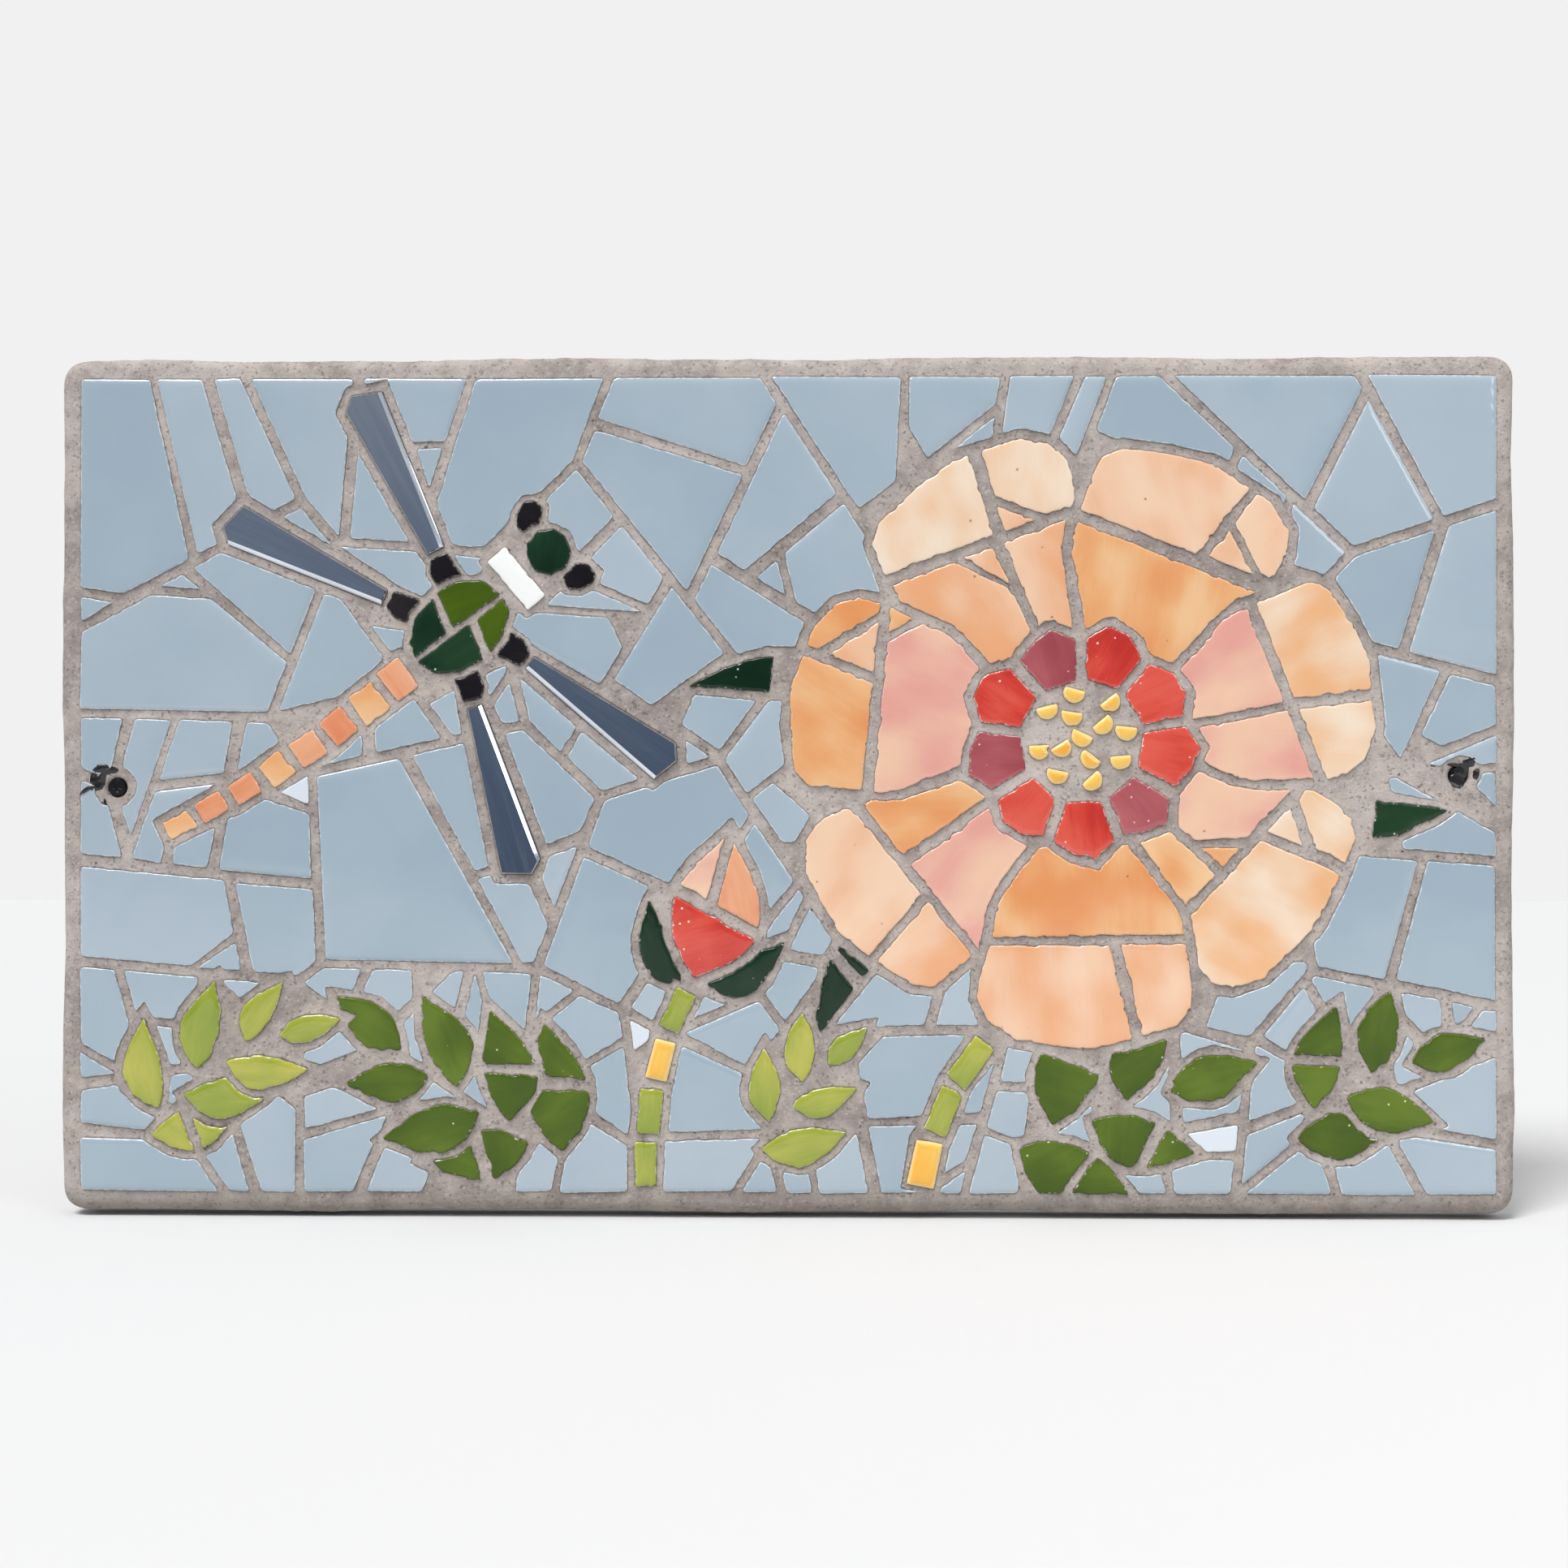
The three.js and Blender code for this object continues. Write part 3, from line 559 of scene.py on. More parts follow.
def lay_tiles(tiles, materials):
    """Makes every shard, and returns each one's rim with its heights for the grout to meet."""
    rims = []
    loose = {}
    for tile in tiles:
        *form, rim = mirror_strip(tile) if tile.stock == "mirror" else shard(tile)
        rims.append(rim)
        if tile.node:
            smooth = tile.stock != "mirror"
            make_piece(f"{tile.node}_tile", form, materials[tile.stock], [tile.node], smooth)
        else:
            loose.setdefault(tile.stock, []).append(form)
    for stock, forms in loose.items():
        make_piece(f"{stock}_small_tiles", joined(forms), materials[stock], [SLAB_NODE])
    return rims


# ---- The mortar slab ----

# The grout's points: their pitch, the rows beside and under each rim, and where the open field starts.
GROUT = {"pitch": 1.3, "near": 0.22, "next": 0.95, "under": 0.75, "open": 1.5}
# Its surface: how far below the tiles' faces it is struck, how hollow the joints are, how uneven it is, where
# a joint turns into open mortar, and its fine noises as (size, height, seed).
STRUCK = {"least": 0.1, "more": 0.3, "patches": 34, "rare": 1.6}
HOLLOW = {"depth": 0.5, "varies": 0.2, "patches": 26, "within": 1.2, "less_in_open": 0.8}
UNEVEN_GROUT = {"height": 0.2, "size": 17, "in_joints": 0.35}
OPEN = {"from": 3, "over": 5}
GRIT = ((4.1, 0.09, 31), (1.7, 0.075, 41), (0.9, 0.05, 51))
BURIED = 1.6  # how far below the joint plane the grout's surface runs on under a tile
RIM = 6.0  # how far the rounded edge reaches in from the slab's outline
OUTLINE_PITCH = 1.5
SURELY_INSIDE = 14  # this far in from the slab's reach, a point is inside whatever the outline's waver
RING_CLEARANCE = 0.7
# The edge's profile: degrees around the rounded rim, then (inset, height, share of roughness) down the side.
RIM_TURN = (72, 54, 38, 24, 12, 0)
SIDE = ((0.1, 9.5, 1), (0.1, 6.5, 1), (0.05, 3.5, 1), (0.15, 1.2, 1), (0.7, 0.3, 0.5), (1.1, 0.0, 0))
# A screw's hole: its ragged mouth, the (radius, depth) of its recess and the bore from there to the back.
HOLE = {"mouth": 5.2, "points": 30, "bore": 2.3}
RECESS = ((4.3, 1.2), (4.1, 3.4), (4.0, 3.6), (2.4, 3.6), (2.3, 4))
BACK = {"pitch": 14, "clear": 6}  # the back's inner points: how far apart, and how far from a screw


def rim_ring():
    """The outline of the slab's flat back, as close points with the facets smoothed away."""
    outline, _ = max(flat_outlines(SLAB_NODE, -1), key=lambda found: abs(signed_area(found[0])))
    if signed_area(outline) < 0:
        outline = outline[::-1]
    points, _ = resampled(outline, OUTLINE_PITCH)
    return softened(points, 3)


def inside_ring(points, ring):
    """Which points lie well inside a ring along the slab's edge."""
    kept = (np.abs(points) < np.abs(ring).max(0) - SURELY_INSIDE).all(1)
    doubtful = points[~kept]
    good = inside(doubtful, ring)
    good[good] = edge_distance(doubtful[good], ring, np.roll(ring, -1, axis=0)) > RING_CLEARANCE
    kept[~kept] = good
    return kept


class Nearest:
    """Finds the nearest points of the tiles' rims."""

    def __init__(self, rims):
        samples = np.vstack([rim for rim, _ in rims])
        self.tree = KDTree(len(samples))
        for i, (x, z) in enumerate(samples):
            self.tree.insert((x, z, 0), i)
        self.tree.balance()

    def to(self, points):
        """How far each point is from the rims, and the number of the nearest rim point."""
        found = [self.tree.find((x, z, 0)) for x, z in points]
        return np.array([f[2] for f in found]), np.array([f[1] for f in found])


def grout_points(rims, ring, centres, nearest):
    """The grout's points: beside and under each rim, and all over the wider joints."""
    beside = []
    under = []
    for rim, _ in rims:
        normals = outward(rim)
        under.append((rim - normals * GROUT["under"])[::3])
        pitch = max(np.linalg.norm(rim[1] - rim[0]), 0.3)
        every = max(1, round(GROUT["pitch"] / pitch))
        for offset in (GROUT["near"], GROUT["next"]):
            row = (rim + normals * offset)[::every]
            gap, _ = nearest.to(row)
            beside.append(row[gap > 0.8 * offset])
    field = honeycomb(ring.min(0), ring.max(0), GROUT["pitch"])
    field = field[inside_ring(field, ring)]
    field = field[~inside_any(field, [rim for rim, _ in rims])]
    gap, _ = nearest.to(field)
    points = np.vstack([*beside, *under, field[gap > GROUT["open"]]])
    clear = inside_ring(points, ring)
    for centre in centres:
        clear &= np.linalg.norm(points - centre, axis=1) > HOLE["mouth"] + 0.6
    return points[clear]


def smoothed_over(values, faces, weights, times):
    """Values at a mesh's points, evened out along its edges."""
    faces = np.array(faces)
    a, b = faces.T.ravel(), np.roll(faces, -1, axis=1).T.ravel()
    count = np.bincount(a, weights[b], len(values)) + np.bincount(b, weights[a], len(values)) + 1e-9
    for _ in range(times):
        weighted = values * weights
        total = np.bincount(a, weighted[b], len(values)) + np.bincount(b, weighted[a], len(values))
        values = 0.5 * values + 0.5 * total / count
    return values


def grout_height(points, gap, level):
    """The grout's height: struck hollow between the tiles, gritty, and proud in places."""
    patches = np.clip(0.5 + 0.5 * layered(points, STRUCK["patches"], 2, 5), 0, 1)
    struck = STRUCK["least"] + STRUCK["more"] * patches ** STRUCK["rare"]
    hollow = HOLLOW["depth"] + HOLLOW["varies"] * noise(points, HOLLOW["patches"], 9)
    hollow = hollow * (1 - np.exp(-np.maximum(gap, 0) / HOLLOW["within"]))
    far = np.clip((gap - OPEN["from"]) / OPEN["over"], 0, 1)
    height = FACE + level * (1 - far) - struck * (1 - far) - hollow * (1 - HOLLOW["less_in_open"] * far)
    uneven = UNEVEN_GROUT["height"] * layered(points, UNEVEN_GROUT["size"], 2, 21)
    height += uneven * (UNEVEN_GROUT["in_joints"] + (1 - UNEVEN_GROUT["in_joints"]) * far)
    height += sum(high * noise(points, size, seed) for size, high, seed in GRIT)
    return np.where(gap < 0, FACE - BURIED, height)


def slab_face(rims, ring, mouths):
    """The slab's face inside a ring, open at the screws' mouths: its points, gaps and faces."""
    nearest = Nearest(rims)
    given = grout_points(rims, ring, screw_places().values(), nearest)
    points, faces = triangulated(ring, np.vstack([given, *mouths]))
    hollow = inside_any(points[np.array(faces)].mean(1), mouths)
    faces = [face for face, gone in zip(faces, hollow) if not gone]

    gap, which = nearest.to(points)
    covered = inside_any(points, [rim for rim, _ in rims])
    gap = np.where(covered, -gap, gap)
    nearest_level = np.concatenate([out for _, out in rims])[which] - FACE
    near_weight = np.where(covered, 1e-6, np.exp(-np.maximum(gap, 0) / 2.0) + 0.02)
    level = smoothed_over(nearest_level, faces, near_weight, 14)
    level = np.minimum(level, nearest_level + 0.1 + 0.4 * np.maximum(gap, 0))
    return at_height(points, grout_height(points, gap, level)), gap, faces


class Growing:
    """A mesh that grows ring by ring from the slab's face."""

    def __init__(self, solid, faces):
        self.solid = solid
        self.faces = faces

    def add(self, points, out):
        """Adds points and gives their numbers."""
        first = len(self.solid)
        self.solid = np.vstack([self.solid, at_height(points, out)])
        return list(range(first, len(self.solid)))

    def strip(self, loop, rows):
        """Carries a loop on through rows of (points, out) and gives the last row's numbers."""
        for points, out in rows:
            ring = self.add(points, out)
            self.faces += band(loop, ring)
            loop = ring
        return loop


def edge_rows(edge):
    """The slab's rounded rim and rough side, as rows of (points, out) from its face to its back."""
    profile = []
    for degrees in RIM_TURN:
        bend = math.radians(degrees)
        profile.append((RIM * (1 - math.cos(bend)), FACE - RIM + RIM * math.sin(bend), 1))
    out_from = outward(softened(edge, 4))
    rows = []
    for inset, height, rough in (*profile, *SIDE):
        place = at_height(edge[:, :1] + edge[:, 1:] * 0.37, height)
        wander = rough * (0.22 * noise(place + [0, 90], 5.5, 61) + 0.12 * noise(place, 1.9, 62) - 0.3)
        tall = rough * 0.12 * noise(place, 2.6, 63)
        rows.append((edge + out_from * (RIM - inset + wander)[:, None], np.maximum(height + tall, 0)))
    return rows


def close_back(mesh, rings):
    """Closes the flat back; the rings are (numbers, points) of its outline and of each hole.

    The library's triangles fill the whole hull, so slivers lie in the back's plane beside its wavering outline.
    """
    outline = rings[0][1]
    centres = [ring.mean(0) for _, ring in rings[1:]]
    filling = honeycomb(outline.min(0), outline.max(0), BACK["pitch"])
    filling = filling[inside_ring(filling, outline)]
    for centre in centres:
        filling = filling[np.linalg.norm(filling - centre, axis=1) > BACK["clear"]]
    given = [Vector(p) for p in np.vstack([*(ring for _, ring in rings), filling])]
    points, _, faces, came_from, *_ = delaunay_2d_cdt(given, [], [list(range(len(outline)))], 1, 1e-6, True)
    points = np.array([tuple(p) for p in points])
    found = {old: new for new, olds in enumerate(came_from) for old in olds}
    known = [number for loop, _ in rings for number in loop]
    numbers = {found[old]: number for old, number in enumerate(known)}
    extra = [i for i in range(len(points)) if i not in numbers]
    numbers.update(zip(extra, mesh.add(points[extra], 0.0)))
    for face in faces:
        middle = points[list(face)].mean(0)
        if all(np.linalg.norm(middle - centre) > HOLE["bore"] - 0.05 for centre in centres):
            mesh.faces.append(tuple(numbers[i] for i in reversed(face)))


def make_slab(rims, materials):
    """The mortar slab: struck joints, sanded border, rounded edge, flat back and the screw holes."""
    outer = rim_ring()
    normals = softened(outward(outer), 4)
    normals /= np.linalg.norm(normals, axis=1, keepdims=True)
    inner = outer - normals * RIM
    mouths = [softened(circle(centre, HOLE["mouth"], HOLE["points"])) for centre in screw_places().values()]
    mouths = [ring + (noise(ring, 2.2, 3) * 0.35)[:, None] * outward(ring) for ring in mouths]
    solid, gap, faces = slab_face(rims, inner, mouths)
    edge_loop, *hole_loops = boundary_loops(faces)
    mesh = Growing(solid, faces)

    rows = edge_rows(solid[edge_loop, :2])
    rings = [(mesh.strip(edge_loop, rows), rows[-1][0])]
    for loop in hole_loops:
        centre = solid[loop, :2].mean(0)
        turn = solid[loop, :2] - centre
        turn /= np.linalg.norm(turn, axis=1, keepdims=True)
        profile = (*RECESS, (HOLE["bore"], FACE))
        rows = [(centre + turn * radius, FACE - depth) for radius, depth in profile]
        rings.append((mesh.strip(loop, rows), rows[-1][0]))
    close_back(mesh, rings)
    gap = np.concatenate([gap, np.full(len(mesh.solid) - len(gap), AWAY)])
    form = mesh.solid, mesh.faces, {"gap": gap}
    return make_piece("mortar_slab_cast", form, materials["mortar"], [SLAB_NODE])


# ---- The fixing screws ----

SCREW = {
    "sides": 48, "top": 0.5, "seat": 3.3, "head": 3.7, "dome": 0.55, "shank": 2.0, "foot": 0.6,
    "slot": 0.5, "slot_reach": 2.1, "slot_depth": 1.1, "slot_fade": 3.6,
}
DOME_RADII = (0.15, 0.35, 0.6, 0.9, 1.2, 1.5, 1.8, 2.1, 2.4, 2.8, 3.15, 3.4)
HEAD_EDGE = ((3.62, 0.75), (SCREW["head"], 1.1), (3.6, 1.6))  # (radius, depth below the head's top)
# The sealant around each screw: ovals of (x, z, half width, half height, turn in degrees).
SMEARS = {
    "fixing_screw_left": [
        (-4.6, 7.5, 5.0, 2.0, -4), (-7.4, 4.6, 3.4, 4.2, -24), (-8.0, 0.9, 3.3, 2.3, 14),
        (-12.4, -0.9, 4.3, 0.85, 34), (-4.6, -6.4, 0.7, 1.9, 16),
    ],
    "fixing_screw_right": [
        (-0.6, -2.2, 3.1, 3.3, 12), (1.2, 1.9, 3.0, 3.4, -20), (4.0, 5.4, 3.0, 2.0, 30),
        (-2.0, 4.3, 3.4, 0.7, -4), (7.0, 0.7, 1.4, 2.4, -12),
    ],
}
# A drop, and what it lies on: the screw's top within reach of it, and a tile's top where the slab is deep.
SMEAR = {"points": 44, "height": 0.5, "on_screw": 5.6, "screw_top": 0.9, "joint": 0.4, "tile_top": 0.15}
SMEAR_ROWS = ((0.3, 1.0), (0.6, 0.9), (0.82, 0.66), (0.95, 0.3), (1.0, -0.2), (1.0, -1.5))  # (reach, height)


def screw_head(node, materials):
    """A domed black screw head with a cross cut into it, on its plain shank."""
    turns = circle(np.zeros(2), 1.0, SCREW["sides"])
    top = FACE - SCREW["top"]
    profile = []
    for radius in DOME_RADII:
        across = np.abs(turns * radius).min(1)
        cut = (across < SCREW["slot"]) & (radius < SCREW["slot_reach"])
        low = SCREW["dome"] * (radius / SCREW["head"]) ** 2
        profile.append((radius, top - low - cut * SCREW["slot_depth"] * (1 - radius / SCREW["slot_fade"])))
    profile += [(radius, top - depth) for radius, depth in HEAD_EDGE]
    profile += [(SCREW["shank"], FACE - SCREW["seat"]), (SCREW["shank"], SCREW["foot"])]
    centre = screw_places()[node]
    solid, faces = skin([at_height(centre + turns * radius, out) for radius, out in profile])
    make_piece(f"{node}_head", (solid, faces, {}), materials["screw"], [node])


def drop_of_sealant(centre, oval, ground, seed):
    """A low ragged drop of sealant that follows the ground: its points, faces and no traits."""
    x, z, half_width, half_height, turn = oval
    bend = math.radians(turn)
    spin = np.array([[math.cos(bend), math.sin(bend)], [-math.sin(bend), math.cos(bend)]])
    ring = circle(np.zeros(2), 1.0, SMEAR["points"]) * [half_width, half_height]
    outline = ring @ spin + centre + [x, z]
    rough = 1 + mixed_noise(outline, ((1.7, 0.16), (0.8, 0.1)), seed)
    rows = []
    for share, height in SMEAR_ROWS:
        row = (ring * (share * rough)[:, None]) @ spin + centre + [x, z]
        level = softened(ground(row)[:, None], 4)[:, 0]
        rows.append(at_height(row, level + SMEAR["height"] * height + 0.05 * noise(row, 1.5, seed + 2)))
    return *skin(rows), {}


def smear(node, slab, materials):
    """The sealant around a screw: drops that have run together, each a closed skin."""
    centre = screw_places()[node]
    tree = BVHTree.FromPolygons([v.co for v in slab.data.vertices], [p.vertices for p in slab.data.polygons])

    def ground(places):
        """How far out the slab, or the shard or screw head on it, is at some places."""
        inwards = Vector((0, 1, 0))
        hits = [tree.ray_cast(Vector((x * MM, LOW.y - 0.01, z * MM)), inwards)[0] for x, z in places]
        out = np.array([-hit.y / MM if hit else 0.0 for hit in hits])
        on_tile = np.where(out < FACE - SMEAR["joint"], FACE + STAND["sky"] - SMEAR["tile_top"], out)
        on_screw = np.maximum(out, FACE - SMEAR["screw_top"])
        return np.where(np.linalg.norm(places - centre, axis=1) < SMEAR["on_screw"], on_screw, on_tile)

    drops = [drop_of_sealant(centre, oval, ground, 70 + 5 * k) for k, oval in enumerate(SMEARS[node])]
    make_piece(f"{node}_sealant", joined(drops), materials["sealant"], [])


# ---- Materials ----


class Tree:
    """A node tree, with short ways to add and link nodes."""

    def __init__(self, tree):
        self.tree = tree

    def feed(self, socket, value):
        """Links an input to an output or sets its plain value; colours are (red, green, blue)."""
        if isinstance(value, bpy.types.NodeSocket):
            self.tree.links.new(value, socket)
        elif socket.type == "RGBA":
            socket.default_value = (*value, 1.0)
        else:
            socket.default_value = value

    def node(self, kind, settings=None, inputs=None):
        """A node, with its settings and its inputs."""
        made = self.tree.nodes.new(kind)
        for name, value in (settings or {}).items():
            setattr(made, name, value)
        for name, value in (inputs or {}).items():
            self.feed(made.inputs[name], value)
        return made

    def ramp(self, value, stops):
        """Colours along a value: stops are (place, colour)."""
        stops = list(stops)
        made = self.node("ShaderNodeValToRGB", None, {"Fac": value})
        elements = made.color_ramp.elements
        while len(elements) < len(stops):
            elements.new(0.5)
        for element, (at, colour) in zip(elements, stops):
            element.position = at
            element.color = (*colour, 1.0)
        return made.outputs["Color"]


class Shading(Tree):
    """A material's nodes and its shader."""

    def __init__(self, name):
        self.material = bpy.data.materials.new(name)
        self.material.use_nodes = True
        super().__init__(self.material.node_tree)
        self.shader = self.tree.nodes["Principled BSDF"]

    def trait(self, name, output="Fac"):
        """A trait that is stored in the mesh."""
        return self.node("ShaderNodeAttribute", {"attribute_name": name}).outputs[output]

    def place(self):
        """The point's place in the part's own frame, in metres."""
        return self.node("ShaderNodeTexCoord").outputs["Object"]

    def noise(self, vector, scale, detail=3.0, roughness=0.55, stretch=None):
        """Smooth noise, stretched if need be."""
        if stretch:
            vector = self.node("ShaderNodeMapping", None, {"Vector": vector, "Scale": stretch}).outputs[0]
        inputs = {"Vector": vector, "Scale": scale, "Detail": detail, "Roughness": roughness}
        return self.node("ShaderNodeTexNoise", None, inputs).outputs[0]

    def cells(self, vector, scale, output="Distance"):
        """Scattered cells: the distance from each one's middle, or its own random colour."""
        return self.node("ShaderNodeTexVoronoi", None, {"Vector": vector, "Scale": scale}).outputs[output]

    def dots(self, vector, scale, share, outer, inner, soft=0.02):
        """Round dots in a share of the cells, from 1 within the inner radius to 0 at the outer one."""
        chosen = self.between(self.cells(vector, scale, "Color"), 1 - share, 1 - share + soft)
        return self.times(self.between(self.cells(vector, scale), outer, inner), chosen)

    def maths(self, operation, a, b):
        made = self.node("ShaderNodeMath", {"operation": operation})
        self.feed(made.inputs[0], a)
        self.feed(made.inputs[1], b)
        return made.outputs[0]

    def times(self, a, b):
        return self.maths("MULTIPLY", a, b)

    def plus(self, a, b):
        return self.maths("ADD", a, b)

    def minus(self, a, b):
        return self.maths("SUBTRACT", a, b)

    def between(self, value, low, high, to_low=0.0, to_high=1.0):
        """A smooth step from to_low to to_high, while the value goes from low to high."""
        names = ("Value", "From Min", "From Max", "To Min", "To Max")
        inputs = dict(zip(names, (value, low, high, to_low, to_high)))
        return self.node("ShaderNodeMapRange", {"interpolation_type": "SMOOTHSTEP"}, inputs).outputs[0]

    def mix(self, amount, a, b):
        """Colour a, turned by an amount into colour b."""
        made = self.node("ShaderNodeMix", {"data_type": "RGBA"})
        for socket, value in zip((made.inputs[0], made.inputs[6], made.inputs[7]), (amount, a, b)):
            self.feed(socket, value)
        return made.outputs[2]

    def bump(self, height, distance, strength=1.0, normal=None):
        """A bump; `distance` is in metres, for a height of 1."""
        inputs = {"Height": height, "Distance": distance, "Strength": strength}
        if normal is not None:
            inputs["Normal"] = normal
        return self.node("ShaderNodeBump", None, inputs).outputs[0]

    def finish(self, colour, roughness, normal=None, **plain):
        """Feeds the shader, and sets the plain values on its own sockets."""
        self.feed(self.shader.inputs["Base Color"], colour)
        self.feed(self.shader.inputs["Roughness"], roughness)
        if normal is not None:
            self.feed(self.shader.inputs["Normal"], normal)
        for name, value in plain.items():
            self.feed(self.shader.inputs[name.replace("_", " ")], value)
        return self.material


GLOSS = {"Coat_Weight": 0.5, "Coat_Roughness": 0.06}
WORN_GLOSS = {"Coat_Weight": 0.12, "Coat_Roughness": 0.1, "Specular_IOR_Level": 0.28}
BISQUE = (0.62, 0.52, 0.42)  # the painted tiles' fired clay, where it shows at a broken side
PALE_BISQUE = (0.66, 0.62, 0.56)  # that of the wall tile
CHIPPED = (0.88, 0.84, 0.78)
GLINT_SPECK_CELLS, PIT_CELLS = 0.36, 0.1  # how many cells there are along a millimetre

# Each glaze's darkest, middle and palest colour, and what is particular to it.
GLAZES = {
    "cream": dict(
        colours=[(0.83, 0.45, 0.225), (0.85, 0.595, 0.4), (0.89, 0.745, 0.595)],
        middle=0.4, pits=0.5, streaks=0.15,
    ),
    "peach": dict(
        colours=[(0.81, 0.39, 0.19), (0.84, 0.51, 0.325), (0.88, 0.615, 0.43)],
        pits=0.5, streaks=0.15,
    ),
    "pink": dict(
        colours=[(0.77, 0.36, 0.3), (0.82, 0.485, 0.36), (0.86, 0.57, 0.39)],
        pits=0.4, streaks=0.15,
    ),
    "orange": dict(
        colours=[(0.77, 0.3, 0.105), (0.81, 0.41, 0.18), (0.86, 0.55, 0.3)],
        pits=0.4, streaks=0.2,
    ),
    "salmon": dict(colours=[(0.71, 0.2, 0.085), (0.76, 0.3, 0.15), (0.82, 0.41, 0.235)]),
    "red": dict(
        colours=[(0.47, 0.021, 0.015), (0.64, 0.053, 0.034), (0.75, 0.115, 0.076)],
        specks_and_glints=0.22, chipped=0.75,
    ),
    "crimson": dict(
        colours=[(0.3, 0.05, 0.065), (0.39, 0.085, 0.1), (0.47, 0.125, 0.135)],
        specks_and_glints=0.25, speck_and_glint_colour=(0.78, 0.48, 0.5),
    ),
    "yellow": dict(
        colours=[(0.86, 0.4, 0.03), (0.9, 0.5, 0.07), (0.92, 0.58, 0.12)],
        chipped=0.2, rim=(0.95, 0.74, 0.33), roughness=0.09,
    ),
    "lime": dict(
        colours=[(0.22, 0.3, 0.025), (0.34, 0.38, 0.045), (0.5, 0.47, 0.075)],
        specks_and_glints=0.05, speck_and_glint_colour=(0.85, 0.85, 0.6), roughness=0.1,
    ),
    "leaf": dict(
        colours=[(0.046, 0.088, 0.003), (0.075, 0.128, 0.005), (0.121, 0.187, 0.013)],
        specks_and_glints=0.16, speck_and_glint_colour=(0.62, 0.68, 0.42), chipped=0.8, streaks=0.3, wear=0.58, gloss=WORN_GLOSS,
    ),
    "dark_green": dict(
        colours=[(0.003, 0.018, 0.007), (0.007, 0.03, 0.0125), (0.017, 0.052, 0.021)],
        specks_and_glints=0.2, speck_and_glint_colour=(0.5, 0.6, 0.5), chipped=0.8, wear=0.58, gloss=WORN_GLOSS,
    ),
    "black": dict(
        colours=[(0.006, 0.0045, 0.006), (0.0115, 0.0085, 0.0105), (0.022, 0.017, 0.0195)],
        specks_and_glints=0.02, speck_and_glint_colour=(0.4, 0.4, 0.4), chipped=0.3, gloss=WORN_GLOSS,
    ),
    "white": dict(colours=[(0.9, 0.89, 0.86), (0.94, 0.94, 0.92), (0.97, 0.97, 0.96)]),
}


def glaze(
    name, colours, middle=0.5, streaks=0.38, specks_and_glints=0.0, speck_and_glint_colour=(0.9, 0.88, 0.8), pits=0.0,
    chipped=0.55, wear=0.48, rim=None, roughness=0.14, gloss=GLOSS,
):
    """A painted tile's glaze: soft patches and brush strokes of three colours, pale specks that are partly
    painted glints, pits and pale chips.

    `specks_and_glints` and `pits` are shares of cells, `chipped` is how pale the chips are and `wear` how rare.
    """
    s = Shading(name)
    grain = s.trait("grain", "Vector")
    edge = s.trait("edge")
    clouds = s.noise(grain, 0.05, 1.5, 0.4, (0.75, 1.0, 1.0))
    strokes = s.noise(grain, 1.0, 3.0, 0.6, (0.045, 0.28, 1))
    fine = s.noise(grain, 1.0, 3.0, 0.6, (0.14, 1.1, 1))
    blend = s.plus(s.times(clouds, 1 - streaks), s.times(strokes, 0.7 * streaks))
    blend = s.plus(blend, s.times(fine, 0.3 * streaks))
    blend = s.plus(blend, s.times(s.minus(s.trait("tone"), 0.45), 0.22))
    colour = s.ramp(s.between(blend, 0.24, 0.76), zip((0, middle, 1), colours))
    if rim:
        colour = s.mix(s.between(edge, 1.9, 0.2, 0.0, 0.75), colour, rim)
    edge_patches = s.between(s.noise(grain, 0.55, 3.0), wear, wear + 0.12)
    chips = s.times(s.between(edge, 0.6, 0.1), edge_patches)
    colour = s.mix(s.times(chips, chipped), colour, CHIPPED)
    height = s.noise(grain, 0.12, 2.0)
    # Pale specks: partly the glaze's own specks, partly painted glints.
    if specks_and_glints:
        colour = s.mix(s.dots(grain, GLINT_SPECK_CELLS, specks_and_glints, 0.2, 0.1), colour, speck_and_glint_colour)
    if pits:
        halo = s.dots(grain, PIT_CELLS, pits, 0.12, 0.03)
        pit = s.dots(grain, PIT_CELLS, pits, 0.06, 0.03)
        colour = s.mix(s.times(halo, 0.3), colour, (0.7, 0.35, 0.17))
        colour = s.mix(s.times(pit, 0.8), colour, (0.2, 0.11, 0.075))
        height = s.minus(height, pit)
    colour = s.mix(s.trait("side"), colour, BISQUE)
    return s.finish(colour, roughness, s.bump(height, 0.0001, 0.5), **gloss)


def sky_glaze():
    """Factory wall tile: an even blue-grey glaze with paler edges, partly chipped glaze and partly a painted
    highlight; a few shards are nearly white.
    """
    s = Shading("sky_glaze")
    grain = s.trait("grain", "Vector")
    tone = s.trait("tone")
    mottle = s.noise(grain, 0.022, 3.0, 0.45)
    colour = s.ramp(s.between(s.plus(s.times(mottle, 0.6), s.times(tone, 0.45)), 0.22, 0.82), [
        (0.0, (0.333, 0.421, 0.494)), (0.5, (0.372, 0.455, 0.524)), (1.0, (0.414, 0.492, 0.559)),
    ])
    colour = s.mix(s.between(tone, 0.94, 0.97, 0.0, 0.7), colour, (0.82, 0.87, 0.93))
    edge_patches = s.between(s.noise(grain, 0.4, 3.0), 0.42, 0.6)
    # Paler edges: partly chipped glaze, partly a painted highlight along the tiles' edges.
    pale = s.times(s.between(s.trait("edge"), 0.7, 0.1), edge_patches)
    colour = s.mix(s.times(pale, 0.65), colour, (0.84, 0.86, 0.87))
    colour = s.mix(s.trait("side"), colour, PALE_BISQUE)
    return s.finish(colour, 0.12, s.bump(s.noise(grain, 0.09, 2.0), 0.0001, 0.35), **GLOSS)


